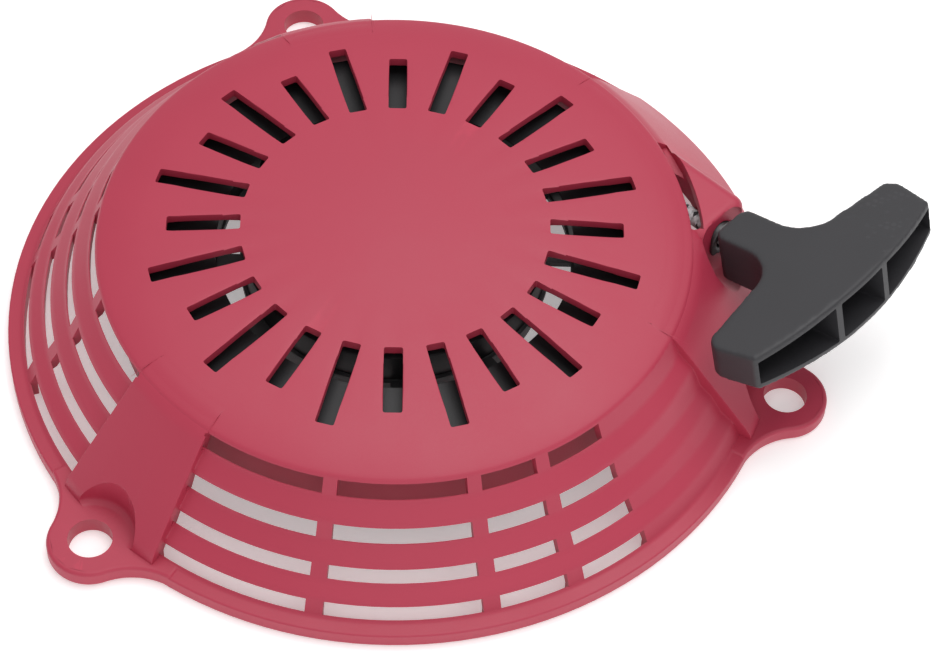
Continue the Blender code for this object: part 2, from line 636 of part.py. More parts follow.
def build_ratchets():
    boss_r = PIN_R + TOUCH_GAP + RATCHET_BOSS
    slope = degrees((boss_r - RATCHET_TIP_R) / RATCHET_REACH)
    for letter, angle in zip("ab", RATCHET_ANGLES_DEG):
        outline = arc(0.0, 0.0, boss_r, slope, 180.0 - slope, 10)
        outline += arc(0.0, -RATCHET_REACH, RATCHET_TIP_R, 180.0 + slope, 360.0 - slope, 6)
        ratchet = prism(f"ratchet_{letter}", outline, ratchet_base, ratchet_top, parts, steel)
        peg = cylinder(f"peg_{letter}", PEG_R, guide_base + TOUCH_GAP, ratchet_base + RATCHET_T / 2, cutters, steps=12)
        combine(ratchet, place(peg, pivot_frame(angle) @ Matrix.Translation((0.0, -PEG_AT, 0.0))), "UNION")
        bore = cylinder(f"pivot_bore_{letter}", PIN_R + TOUCH_GAP, 0.0, COVER_HEIGHT, cutters, steps=16)
        combine(ratchet, place(bore, pivot_frame(angle)), "DIFFERENCE")
        place(ratchet, pivot_frame(angle))

        coil_r = PIN_R + TOUCH_GAP + RATCHET_SPRING_R
        steps = int(RATCHET_SPRING_TURNS * RATCHET_SPRING_FACETS)
        points = [(boss_r + RATCHET_SPRING_LEG, coil_r, ratchet_spring_foot)]
        for i in range(steps + 1):
            a = pi / 2 - 2 * pi * i / RATCHET_SPRING_FACETS
            z = ratchet_spring_foot + ratchet_spring_rise * RATCHET_SPRING_TURNS * i / steps
            points.append((coil_r * cos(a), coil_r * sin(a), z))
        points.append((-boss_r - RATCHET_SPRING_LEG, -coil_r, ratchet_spring_z))
        spring = wire(f"ratchet_spring_{letter}", points, RATCHET_SPRING_R, steel, resolution=1)
        place(spring, pivot_frame(angle))


def build_guide():
    guide = ring("ratchet_guide", collar_r + RUN_GAP, GUIDE_DISC_R, guide_base, guide_top, parts, reel_plastic)
    clear = PEG_R + RUN_GAP
    path = peg_path()
    for k, angle in enumerate(RATCHET_ANGLES_DEG):
        side_a, side_b = [], []
        for i, (x, y) in enumerate(path):
            ahead = path[min(i + 1, len(path) - 1)]
            behind = path[max(i - 1, 0)]
            way = Vector((ahead[0] - behind[0], ahead[1] - behind[1])).normalized()
            across = Vector((-way.y, way.x)) * clear
            end = way * (clear if i == len(path) - 1 else -clear if i == 0 else 0.0)
            side_a.append((x + across.x + end.x, y + across.y + end.y))
            side_b.append((x - across.x + end.x, y - across.y + end.y))
        slot = prism(f"cam_slot_{k}", side_a + side_b[::-1], guide_base - OVERCUT, guide_top + OVERCUT, cutters)
        combine(guide, place(slot, Matrix.Rotation(radians(angle), 4, "Z")), "DIFFERENCE")

    waves = [
        (FRICTION_RING_R * cos(a), FRICTION_RING_R * sin(a), friction_z)
        for a in (2 * pi * i / 24 for i in range(24))
    ]
    wire("friction_spring", waves, FRICTION_R, steel, resolution=1, cyclic=True)
    ring("screw_collar", collar_bore, collar_r, collar_base, collar_top, parts, steel, 20)
    ring("thrust_washer", collar_bore, WASHER_R, washer_base, washer_top - TOUCH_GAP, parts, steel, 28)

    shank_top = post_end + SCREW_DEPTH - 2 * TOUCH_GAP
    profile = [(0.0, shank_top), (SCREW_R, shank_top), (SCREW_R, head_top), (SCREW_HEAD_R, head_top),
               (SCREW_HEAD_R, head_base), (0.0, head_base)]
    screw = turned("centre_screw", profile, parts, steel, steps=24, closed=False)
    socket = cylinder("hex_socket", HEX_SOCKET_R, head_base - OVERCUT, head_base + HEX_SOCKET_DEPTH, cutters, steps=6)
    combine(screw, socket, "DIFFERENCE")


def build_rope():
    inner, outer = DRUM_R + TOUCH_GAP, rope_outer_r
    low, high = ROPE_Z - ROPE_R, ROPE_Z + ROPE_R
    ease = ROPE_R / 2
    ring_outline = [(inner + ease, high), (outer - ease, high), (outer, high - ease), (outer, low + ease),
                    (outer - ease, low), (inner + ease, low), (inner, low + ease), (inner, high - ease)]
    turned("rope_winding", ring_outline, parts, rope_fibre, steps=48)

    clear_r = rope_outer_r + TOUCH_GAP
    start = (clear_r ** 2 - (rope_offset - ROPE_R) ** 2) ** 0.5 + TOUCH_GAP
    knot_at = handle_nose + STEM_LENGTH - KNOT_DEPTH
    stop = knot_at + KNOT_WASHER_T
    inside, outside = pull_start.translation.x - start, stop
    count = int(inside / (2.5 * ROPE_R))
    points = [rope_frame @ Vector((start + inside * i / count, 0.0, ROPE_Z)) for i in range(count + 1)]
    count = int(outside / (2.5 * ROPE_R))
    points += [pull_frame @ Vector((outside * i / count, 0.0, 0.0)) for i in range(1, count + 1)]
    wire("rope_run", points, ROPE_R, rope_fibre)

    knot = bmesh.new()
    bmesh.ops.create_uvsphere(knot, u_segments=14, v_segments=9, radius=KNOT_R)
    knot_x = stop + TOUCH_GAP + KNOT_R
    place(mesh_object("rope_knot_handle", knot, parts, rope_fibre), pull_frame @ Matrix.Translation((knot_x, 0.0, 0.0)))
    bore = ROPE_R + TOUCH_GAP
    washer = ring("knot_washer", bore, KNOT_WASHER_R, 0.0, KNOT_WASHER_T - TOUCH_GAP, parts, steel, 20)
    turn = Matrix.Rotation(pi / 2, 4, "Y")
    place(washer, pull_frame @ Matrix.Translation((knot_at + TOUCH_GAP / 2, 0.0, 0.0)) @ turn)

    knot = bmesh.new()
    bmesh.ops.create_uvsphere(knot, u_segments=12, v_segments=8, radius=REEL_KNOT_R)
    middle = (window_inner_r + window_outer_r) / 2
    reel_knot = mesh_object("rope_knot_reel", knot, parts, rope_fibre)
    turn = Matrix.Rotation(radians(window_middle_deg(REEL_KNOT_WINDOW)), 4, "Z")
    stub = cylinder("knot_stub", ROPE_R - TOUCH_GAP, 0.0, DRUM_R - middle, cutters, steps=10)
    place(stub, turn @ Matrix.Translation((middle, 0.0, ROPE_Z)) @ Matrix.Rotation(pi / 2, 4, "Y"))
    combine(place(reel_knot, turn @ Matrix.Translation((middle, 0.0, ROPE_Z))), stub, "UNION")


def handle_plan():
    """The handle from above: a stem with hollow fillets into a bar with a bulging front."""
    near = STEM_LENGTH
    far = near + BAR_DEPTH
    half = arc(NOSE_ROUND, STEM_HALF_WIDTH - NOSE_ROUND, NOSE_ROUND, 180.0, 90.0, 2)
    half += arc(near - NECK_FILLET, STEM_HALF_WIDTH + NECK_FILLET, NECK_FILLET, -90.0, -12.0, 6)
    half += arc(near + BAR_SHOULDER + BAR_END_R, BAR_HALF_LENGTH - BAR_END_R, BAR_END_R, 165.0, 40.0, 5)
    sweep = 6
    for i in range(sweep + 1):
        y = (BAR_HALF_LENGTH - BAR_END_R / 2) * (1 - i / sweep)
        half.append((far + BAR_BULGE * (1 - (y / BAR_HALF_LENGTH) ** 2), y))
    return half + [(x, -y) for x, y in half[-2::-1]]


def build_handle():
    frame = pull_frame @ Matrix.Translation((handle_nose, 0.0, 0.0))
    handle = prism("handle", handle_plan(), -HANDLE_HEIGHT / 2, HANDLE_HEIGHT / 2, parts, black_plastic)
    length = STEM_LENGTH + BAR_DEPTH + BAR_BULGE
    tall, low = HANDLE_HEIGHT / 2, BAR_END_HEIGHT / 2
    front = [(-BAR_HALF_LENGTH - OVERCUT, low), (-NECK_FILLET, tall), (NECK_FILLET, tall),
             (BAR_HALF_LENGTH + OVERCUT, low)]
    front += [(y, -z) for y, z in front[::-1]]
    bm = bmesh.new()
    across = Matrix.Rotation(pi / 2, 4, "Z") @ Matrix.Rotation(pi / 2, 4, "X")
    add_prism(bm, front, -OVERCUT, length + OVERCUT, across)
    combine(handle, place(mesh_object("handle_front", bm, cutters), frame), "INTERSECT")
    edge = handle.modifiers.new("round", "BEVEL")
    edge.width = HANDLE_ROUND
    edge.segments = 1
    edge.limit_method = "ANGLE"
    edge.angle_limit = radians(50.0)

    bm = bmesh.new()
    wide, narrow = MIDDLE_POCKET_HALF, MIDDLE_POCKET_HALF * MIDDLE_POCKET_TAPER
    inner, outer = STEM_LENGTH - KNOT_DEPTH, length + OVERCUT
    middle = [(inner, -narrow), (outer, -wide), (outer, wide), (inner, narrow)]
    add_prism(bm, middle, -tall + HANDLE_WALL, tall - HANDLE_WALL)
    floor = STEM_LENGTH + BAR_SHOULDER + HANDLE_WALL
    start = MIDDLE_POCKET_HALF + POCKET_RIB
    end = BAR_HALF_LENGTH - HANDLE_WALL - POCKET_EXTRA_WALL
    slope = (tall - low) / (BAR_HALF_LENGTH + OVERCUT - NECK_FILLET)
    near_z = tall - HANDLE_WALL - slope * max(start - NECK_FILLET, 0.0)
    far_z = tall - HANDLE_WALL - slope * (end - NECK_FILLET)
    for side in (-1, 1):
        corners = [(x, side * y, sign * z) for x in (floor, outer) for sign in (-1, 1)
                   for y, z in ((start, near_z), (end, far_z))]
        bmesh.ops.convex_hull(bm, input=[bm.verts.new(corner) for corner in corners])
    combine(handle, place(mesh_object("handle_pockets", bm, cutters), frame), "DIFFERENCE")
    bore = cylinder("handle_bore", ROPE_R + RUN_GAP, -OVERCUT, STEM_LENGTH, cutters, steps=16)
    combine(handle, place(bore, frame @ Matrix.Rotation(pi / 2, 4, "Y")), "DIFFERENCE")
    place(handle, frame)


build_cover()
build_reel()
build_recoil_spring()
build_ratchets()
build_guide()
build_rope()
build_handle()
for built in parts.objects:
    if built.type == "MESH" and built.data.polygons:
        smooth(built)
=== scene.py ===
"""Recoil starter of a small vertical-shaft engine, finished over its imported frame.

Metres, +Z up. The origin is on the crank axis, in the plane of the cover's bolting face."""

import json
from math import atan2, ceil, cos, degrees, pi, radians, sin, tan

import bmesh
import bpy
from mathutils import Matrix, Vector


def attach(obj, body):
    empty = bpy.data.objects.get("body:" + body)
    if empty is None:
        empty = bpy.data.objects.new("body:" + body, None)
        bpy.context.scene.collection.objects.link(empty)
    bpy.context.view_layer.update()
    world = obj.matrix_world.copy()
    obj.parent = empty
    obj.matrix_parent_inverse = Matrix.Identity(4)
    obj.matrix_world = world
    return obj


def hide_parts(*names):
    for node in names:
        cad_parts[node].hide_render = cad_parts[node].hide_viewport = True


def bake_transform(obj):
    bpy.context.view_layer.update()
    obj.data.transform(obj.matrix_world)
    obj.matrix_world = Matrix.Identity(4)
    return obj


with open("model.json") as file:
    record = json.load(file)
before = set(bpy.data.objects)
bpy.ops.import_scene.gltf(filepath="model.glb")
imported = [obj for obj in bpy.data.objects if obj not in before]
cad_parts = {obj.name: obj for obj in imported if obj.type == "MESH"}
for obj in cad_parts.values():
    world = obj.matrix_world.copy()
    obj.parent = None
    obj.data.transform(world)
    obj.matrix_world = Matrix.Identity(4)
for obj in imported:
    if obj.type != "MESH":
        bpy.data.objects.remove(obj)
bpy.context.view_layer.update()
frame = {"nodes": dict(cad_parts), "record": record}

bl_info = {
    "name": "Recoil starter",
    "version": (1, 0, 0),
    "blender": (4, 5, 0),
    "location": "3D View > Sidebar > Recoil starter",
    "description": "Builds a recoil starter for a small engine, piece by piece",
    "category": "Object",
}

MM = 0.001

# Fits
TOUCH_GAP = 0.3 * MM
RUN_GAP = 0.4 * MM
OVERCUT = 1.0 * MM
WELD = 0.02 * MM

# Rope and reel
ROPE_R = 2.0 * MM
ROPE_TURNS = 4
ROPE_Z = 26.2 * MM
ROPE_DIR_DEG = -58.0
DRUM_R = 46.3 * MM
REEL_RIM = 3.1 * MM
GUARD_GAP = 2.0 * MM
GUARD_WALL = 1.8 * MM
GUARD_FOOT_Z = 14.2 * MM

# Cover
DISC_MARGIN = 3.6 * MM
DISC_FALL = 0.76 / MM / 1000.0       # the disc drops by this times its radius squared
DISC_SHOULDER = 11.7 * MM
DISC_EDGE_DROP = 5.6 * MM
SIDE_RUN = 20.6 * MM
FLANGE_WIDTH = 3.6 * MM
FLANGE_Z = 4.0 * MM
WALL = 2.4 * MM
STEP_TOPS = ((0.0, 0.0), (0.308, 0.311), (0.593, 0.599), (0.888, 0.831))
STEP_FEET = ((0.117, 0.184), (0.425, 0.491), (0.724, 0.749), (1.0, 0.993))
STEP_ROUND = 0.9 * MM
OPENING_LIFT = 0.5 * MM
SLOT_COUNT = 24
SLOT_INNER_R = 38.0 * MM
SLOT_LONG = 23.4 * MM
SLOT_SHORT = 18.2 * MM
RIB_WIDTH_DEG = 2.6
FRONT_ENDS_DEG = (219.0, 296.0)
FRONT_RIBS_DEG = (244.0, 270.0, 283.2)
LEFT_ENDS_DEG = (101.0, 200.9)
LEFT_RIBS_DEG = (124.0, 147.0, 157.0, 180.0)
ROPE_WINDOW_DEG = (-12.0, 11.0)
ROPE_WINDOW_WIDTH = 3.1 * MM

# Lugs
LUG_ANGLES_DEG = (90.0, 210.0, 330.0)
BOLT_OUTSET = 3.7 * MM
BOLT_HOLE_R = 5.4 * MM
LUG_TIP_R = 10.5 * MM
LUG_FILLET_R = 17.0 * MM
LUG_ROOT = 5.0 * MM
LUG_Z = 4.6 * MM
LUG_ROUND = 0.9 * MM
RECESS_R = 11.0 * MM
RECESS_DRAFT = 0.8 * MM
RECESS_ROUND = 1.8 * MM
RAMP_HALF_DEG = 9.4
RAMP_FOOT_PROUD = 2.4 * MM
RAMP_HEAD_RUN = 9.0 * MM

# Hood
MOUTH_INSET = 12.0 * MM
HOOD_BACK = 14.0 * MM
HOOD_INNER_SIDE = 8.6 * MM
HOOD_OUTER_SIDE = 9.8 * MM
HOOD_ROOF = 2.6 * MM
HOOD_ROUND = 3.4 * MM
CHANNEL_SIDE = 3.8 * MM
CHANNEL_OVER = 2.0 * MM
CHANNEL_UNDER = 2.8 * MM
CHANNEL_START = 12.0 * MM
MOUTH_WALL = 4.5 * MM
VALLEY_R = 9.6 * MM
VALLEY_FLARE = 7.0 * MM
VALLEY_RUN = 30.0 * MM
SLOPE_END_DEG = 392.0
GUIDE_LIP_R = 5.2 * MM
GUIDE_LIP_T = 0.9 * MM
GUIDE_WALL = 1.3 * MM
GUIDE_CLEARANCE = 0.7 * MM

# Reel
POST_R = 9.0 * MM
REEL_BASE_Z = 17.2 * MM
REEL_FLOOR_T = 2.0 * MM
CUP_SETBACK = 10.9 * MM
CUP_WALL = 2.2 * MM
CUP_TOP_Z = 32.4 * MM
REEL_HUB_WALL = 3.0 * MM
WINDOW_INNER_EDGE = 1.0 * MM
WINDOW_OUTER_EDGE = 0.5 * MM
FLANGE_PLATE_T = 1.5 * MM
DRUM_WALL = 2.0 * MM
REEL_WINDOWS = 12
WINDOW_DEG = 21.0
WINDOW_PHASE_DEG = 3.6
REEL_KNOT_WINDOW = 4
REEL_KNOT_R = 2.6 * MM

# Recoil spring
SPRING_TURNS = 11
SPRING_T = 0.5 * MM
SPRING_SIDE_GAP = 0.7 * MM
SPRING_TURN_POINTS = 60

# Ratchets and their guide
RATCHET_ANGLES_DEG = (0.0, 180.0)
PIVOT_R = 19.0 * MM
PIN_R = 2.5 * MM
RATCHET_T = 3.0 * MM
RATCHET_BOSS = 2.4 * MM
RATCHET_REACH = 15.0 * MM
RATCHET_TIP_R = 1.9 * MM
RATCHET_SWING_DEG = 35.0
GUIDE_SWING_DEG = 25.0
PEG_AT = 8.0 * MM
PEG_R = 1.3 * MM
RATCHET_SPRING_R = 0.35 * MM
RATCHET_SPRING_TURNS = 1.5
GUIDE_DISC_R = 28.5 * MM
GUIDE_DISC_T = 2.2 * MM

# Centre screw and what it clamps
SCREW_R = 2.9 * MM
SCREW_DEPTH = 15.0 * MM
SCREW_HEAD_R = 8.0 * MM
SCREW_HEAD_T = 2.6 * MM
HEX_SOCKET_R = 3.0 * MM
HEX_SOCKET_DEPTH = 1.8 * MM
INSERT_WALL = 2.2 * MM
COLLAR_WALL = 1.8 * MM
WASHER_R = 12.4 * MM
WASHER_T = 1.2 * MM
FRICTION_R = 0.5 * MM
FRICTION_RING_R = 6.4 * MM

# Handle
NOSE_ROUND = 2.6 * MM
HANDLE_PITCH_DEG = 15.5
STEM_LENGTH = 20.7 * MM
STEM_HALF_WIDTH = 6.2 * MM
BAR_HALF_LENGTH = 36.0 * MM
BAR_DEPTH = 14.5 * MM
BAR_BULGE = 6.5 * MM
BAR_SHOULDER = 1.0 * MM
NECK_FILLET = 10.0 * MM
BAR_END_R = 4.0 * MM
HANDLE_HEIGHT = 14.2 * MM
BAR_END_HEIGHT = 9.6 * MM
HANDLE_WALL = 1.7 * MM
HANDLE_GRAIN = 0.5 * MM
BAR_CORNER = 2.0 * MM
POCKET_RIB = 1.8 * MM
POCKET_ROUND = 0.5 * MM
POCKET_EXTRA_WALL = 1.0 * MM
MIDDLE_POCKET_HALF = 8.0 * MM
MIDDLE_POCKET_TAPER = 0.6
KNOT_DEPTH = 12.0 * MM
KNOT_R = 3.3 * MM
KNOT_WASHER_R = 3.9 * MM
KNOT_WASHER_T = 0.8 * MM

# How fine the meshes are
COVER_STEPS = 144
REEL_STEPS = 120
SMALL_STEPS = 64
SECTOR_STEP_DEG = 2.5
ROPE_SIDES = 18
WIRE_SIDES = 10


# ---------------------------------------------------------------- what follows from the sizes above
rope_dir = Vector((cos(radians(ROPE_DIR_DEG)), sin(radians(ROPE_DIR_DEG)), 0.0))
rope_side = Vector((-rope_dir.y, rope_dir.x, 0.0))
rope_outer_r = DRUM_R + TOUCH_GAP + 2 * ROPE_R * ROPE_TURNS
rope_offset = rope_outer_r - ROPE_R
reel_r = rope_outer_r + TOUCH_GAP + REEL_RIM
guard_r = reel_r + GUARD_GAP
disc_edge_r = guard_r + GUARD_WALL + DISC_MARGIN
side_r = disc_edge_r + SIDE_RUN
flange_r = side_r + FLANGE_WIDTH
bolt_r = flange_r + BOLT_OUTSET
hood_mouth = ((side_r - MOUTH_INSET) ** 2 - rope_offset ** 2) ** 0.5
handle_nose = TOUCH_GAP + HANDLE_HEIGHT / 2 * tan(radians(HANDLE_PITCH_DEG))
guide_bore_r = ROPE_R + GUIDE_CLEARANCE
channel_half = ROPE_R + CHANNEL_SIDE
channel_z = (ROPE_Z - ROPE_R - CHANNEL_UNDER, ROPE_Z + ROPE_R + CHANNEL_OVER)
hood_top_z = channel_z[1] + HOOD_ROOF
rope_frame = Matrix.Translation(rope_side * rope_offset) @ Matrix.Rotation(radians(ROPE_DIR_DEG), 4, "Z")
mouth_frame = rope_frame @ Matrix.Translation((hood_mouth, 0.0, ROPE_Z)) @ Matrix.Rotation(pi / 2, 4, "Y")
pull_start = Matrix.Translation((hood_mouth + GUIDE_LIP_T, 0.0, ROPE_Z))
pull_frame = rope_frame @ pull_start @ Matrix.Rotation(-radians(HANDLE_PITCH_DEG), 4, "Y")
handle_frame = pull_frame @ Matrix.Translation((handle_nose, 0.0, 0.0))
washer_top = REEL_BASE_Z - TOUCH_GAP
post_end = washer_top
washer_base = washer_top - WASHER_T
ratchet_top = REEL_BASE_Z - TOUCH_GAP
ratchet_base = ratchet_top - RATCHET_T
ratchet_spring_z = ratchet_base - TOUCH_GAP - RATCHET_SPRING_R
ratchet_spring_rise = 2 * RATCHET_SPRING_R + 0.1 * MM
ratchet_spring_foot = ratchet_spring_z - ratchet_spring_rise * RATCHET_SPRING_TURNS
pin_foot = ratchet_spring_foot - RATCHET_SPRING_R
guide_top = pin_foot - TOUCH_GAP
guide_base = guide_top - GUIDE_DISC_T
friction_z = guide_base - TOUCH_GAP - FRICTION_R
head_top = friction_z - FRICTION_R - TOUCH_GAP
head_base = head_top - SCREW_HEAD_T
collar_base = head_top + TOUCH_GAP
collar_top = washer_base - TOUCH_GAP
collar_bore = SCREW_R + TOUCH_GAP
collar_r = collar_bore + COLLAR_WALL
plate_top = ROPE_Z - ROPE_R - TOUCH_GAP
plate_base = plate_top - FLANGE_PLATE_T
drum_top = ROPE_Z + ROPE_R + TOUCH_GAP + FLANGE_PLATE_T
cup_inner_r = DRUM_R - CUP_SETBACK
cup_outer_r = cup_inner_r + CUP_WALL
floor_top = REEL_BASE_Z + REEL_FLOOR_T
window_inner_r = cup_outer_r + WINDOW_INNER_EDGE
window_outer_r = DRUM_R - DRUM_WALL - WINDOW_OUTER_EDGE
reel_bore = POST_R + RUN_GAP


# ---------------------------------------------------------------- settings
def colour_property(name, description, default):
    return bpy.props.FloatVectorProperty(
        name=name, description=description, default=default, size=3, min=0.0, max=1.0, subtype="COLOR",
    )


def length_property(name, description, default):
    return bpy.props.FloatProperty(
        name=name, description=description, default=default, min=0.0, unit="LENGTH", subtype="DISTANCE",
    )


class STARTER_PG_cover(bpy.types.PropertyGroup):
    height: length_property("Height", "From the bolting face to the middle of the disc", 38.5 * MM)
    slot_width: length_property("Slot width", "Width of each slot in the disc", 4.6 * MM)
    edge_round: length_property("Edge rounding", "Rounding along the moulded edges", 0.35 * MM)
    colour: colour_property("Colour", "The moulded cover", (0.46, 0.036, 0.075))


class STARTER_PG_handle(bpy.types.PropertyGroup):
    easing: bpy.props.IntProperty(
        name="Easing", description="Passes that ease the grip's edges", default=16, min=0)
    colour: colour_property("Colour", "The moulded grip", (0.034, 0.033, 0.037))


class STARTER_PG_rope(bpy.types.PropertyGroup):
    weave: length_property("Weave", "Length of one plait along the rope", 3.2 * MM)
    colour: colour_property("Colour", "The main yarn", (0.74, 0.74, 0.76))
    fleck: colour_property("Fleck", "The dark yarn", (0.03, 0.03, 0.035))


class STARTER_PG_reel(bpy.types.PropertyGroup):
    edge_round: length_property("Edge rounding", "Rounding along the reel's edges", 0.3 * MM)
    colour: colour_property("Colour", "The moulded reel", (0.018, 0.018, 0.02))


class STARTER_PG_metal(bpy.types.PropertyGroup):
    edge_round: length_property("Edge rounding", "Rounding along the metal edges", 0.2 * MM)
    steel: colour_property("Steel", "Screw, washers and ratchets", (0.50, 0.50, 0.51))
    brass: colour_property("Brass", "The insert in the post", (0.66, 0.47, 0.20))


class STARTER_PG_stage(bpy.types.PropertyGroup):
    floor: colour_property("Floor", "The floor it stands on", (0.93, 0.93, 0.93))
    key: bpy.props.FloatProperty(name="Key light", description="Strength of the main light in watts", default=5.5,
                                 min=0.0)
    glow: bpy.props.FloatProperty(name="Floor glow", description="How much the floor is lit from below", default=0.33,
                                  min=0.0)
    fill: bpy.props.FloatProperty(name="Surround", description="Strength of the light from all round", default=0.5,
                                  min=0.0)


class STARTER_PG_settings(bpy.types.PropertyGroup):
    cover: bpy.props.PointerProperty(name="Cover", description="The moulded cover", type=STARTER_PG_cover)
    handle: bpy.props.PointerProperty(name="Handle", description="The grip", type=STARTER_PG_handle)
    rope: bpy.props.PointerProperty(name="Rope", description="The starter rope", type=STARTER_PG_rope)
    reel: bpy.props.PointerProperty(name="Reel", description="The rope reel", type=STARTER_PG_reel)
    metal: bpy.props.PointerProperty(name="Metal", description="The metal pieces", type=STARTER_PG_metal)
    stage: bpy.props.PointerProperty(name="Stage", description="Floor and light", type=STARTER_PG_stage)


def settings():
    return bpy.context.scene.recoil_starter


# ---------------------------------------------------------------- meshes
def box_outline(x0, x1, y0, y1):
    return [(x0, y0), (x1, y0), (x1, y1), (x0, y1)]


def arc(cx, cy, r, start_deg, end_deg, steps):
    """Points along an arc, both ends included."""
    return [
        (cx + r * cos(radians(start_deg + (end_deg - start_deg) * i / steps)),
         cy + r * sin(radians(start_deg + (end_deg - start_deg) * i / steps)))
        for i in range(steps + 1)
    ]


def circle(r, steps):
    return [(r * cos(2 * pi * i / steps), r * sin(2 * pi * i / steps)) for i in range(steps)]


def rounded(points, radius, steps=4, closed=False):
    """The same outline with its corners rounded off."""
    made = []
    count = len(points)
    for i, point in enumerate(points):
        if not closed and i in (0, count - 1):
            made.append(point)
            continue
        here = Vector(point)
        back, ahead = Vector(points[i - 1]) - here, Vector(points[(i + 1) % count]) - here
        reach = min(radius, back.length * 0.45, ahead.length * 0.45)
        start, end = here + back.normalized() * reach, here + ahead.normalized() * reach
        for k in range(steps + 1):
            t = k / steps
            made.append(tuple(start * (1 - t) ** 2 + here * 2 * t * (1 - t) + end * t ** 2))
    return made


def mesh_object(name, bm):
    """An object from a bmesh, welded and with its faces turned outwards."""
    bmesh.ops.remove_doubles(bm, verts=bm.verts, dist=WELD)
    bmesh.ops.recalc_face_normals(bm, faces=bm.faces)
    mesh = bpy.data.meshes.new(name)
    bm.to_mesh(mesh)
    bm.free()
    made = bpy.data.objects.new(name, mesh)
    bpy.context.scene.collection.objects.link(made)
    return made


def add_turned(bm, outline, steps, matrix=None, closed=True):
    """Adds an outline of (radius, height) turned about the Z axis."""
    rings = [[bm.verts.new((r * cos(2 * pi * k / steps), r * sin(2 * pi * k / steps), z)) for r, z in outline]
             for k in range(steps)]
    last = len(outline) if closed else len(outline) - 1
    for k in range(steps):
        here, ahead = rings[k], rings[(k + 1) % steps]
        for i in range(last):
            j = (i + 1) % len(outline)
            bm.faces.new((here[i], here[j], ahead[j], ahead[i]))
    if matrix:
        bmesh.ops.transform(bm, matrix=matrix, verts=[v for column in rings for v in column])


def turned(name, outline, steps=SMALL_STEPS, matrix=None, closed=True):
    bm = bmesh.new()
    add_turned(bm, outline, steps, matrix, closed)
    bmesh.ops.remove_doubles(bm, verts=bm.verts, dist=WELD / 10)
    bmesh.ops.dissolve_degenerate(bm, edges=bm.edges, dist=WELD / 10)
    return mesh_object(name, bm)


def cylinder(name, r, z0, z1, steps=SMALL_STEPS, matrix=None):
    return turned(name, [(0.0, z1), (r, z1), (r, z0), (0.0, z0)], steps, matrix, closed=False)


def ring(name, inner, outer, z0, z1, steps=SMALL_STEPS, matrix=None):
    return turned(name, [(inner, z1), (outer, z1), (outer, z0), (inner, z0)], steps, matrix)


def add_prism(bm, outline, z0, z1, matrix=None):
    """Adds a flat outline of (x, y) raised from z0 to z1."""
    low = [bm.verts.new((x, y, z0)) for x, y in outline]
    high = [bm.verts.new((x, y, z1)) for x, y in outline]
    bm.faces.new(low[::-1])
    bm.faces.new(high)
    for i in range(len(outline)):
        j = (i + 1) % len(outline)
        bm.faces.new((low[i], low[j], high[j], high[i]))
    if matrix:
        bmesh.ops.transform(bm, matrix=matrix, verts=low + high)


def prism(name, outline, z0, z1, matrix=None):
    bm = bmesh.new()
    add_prism(bm, outline, z0, z1, matrix)
    return mesh_object(name, bm)


def add_sector(bm, section, start_deg, end_deg):
    """Adds the solid that a section of (radius, height) sweeps between two angles."""
    steps = max(1, ceil((end_deg - start_deg) / SECTOR_STEP_DEG))
    rows = []
    for k in range(steps + 1):
        a = radians(start_deg + (end_deg - start_deg) * k / steps)
        rows.append([bm.verts.new((r * cos(a), r * sin(a), z)) for r, z in section])
    bm.faces.new(rows[0])
    bm.faces.new(rows[-1][::-1])
    for here, ahead in zip(rows, rows[1:]):
        for i in range(len(section)):
            j = (i + 1) % len(section)
            bm.faces.new((here[i], ahead[i], ahead[j], here[j]))


def applied(obj):
    """Turns an object's modifiers into a plain mesh."""
    bpy.context.view_layer.update()
    made = bpy.data.meshes.new_from_object(obj.evaluated_get(bpy.context.evaluated_depsgraph_get()))
    obj.modifiers.clear()
    obj.data = made
    made.name = obj.name
    return obj


def combine(target, other, operation):
    """Cuts, joins or keeps what is common, and removes the other piece."""
    step = target.modifiers.new("combine", "BOOLEAN")
    step.operation = operation
    step.solver = "EXACT"
    step.object = other
    step.use_hole_tolerant = True
    applied(target)
    bpy.data.objects.remove(other, do_unlink=True)
    return target


def clean(obj, weld=WELD):
    """Welds near points and removes slivers left by the cuts."""
    bm = bmesh.new()
    bm.from_mesh(obj.data)
    bmesh.ops.remove_doubles(bm, verts=bm.verts, dist=weld)
    bmesh.ops.dissolve_degenerate(bm, edges=bm.edges, dist=weld)
    bm.to_mesh(obj.data)
    bm.free()
    return obj


def round_edges(obj, width, segments=2, angle_deg=35.0, clamp=False):
    """Rounds the sharp edges."""
    edge = obj.modifiers.new("round", "BEVEL")
    edge.width = width
    edge.segments = segments
    edge.limit_method = "ANGLE"
    edge.angle_limit = radians(angle_deg)
    edge.use_clamp_overlap = clamp
    edge.miter_outer = "MITER_ARC"
    return applied(obj)


def soften(obj, grain, passes):
    """Turns the piece into an even skin and eases every edge of it."""
    skin = obj.modifiers.new("skin", "REMESH")
    skin.mode = "VOXEL"
    skin.voxel_size = grain
    ease = obj.modifiers.new("ease", "SMOOTH")
    ease.factor = 0.5
    ease.iterations = passes
    return applied(obj)


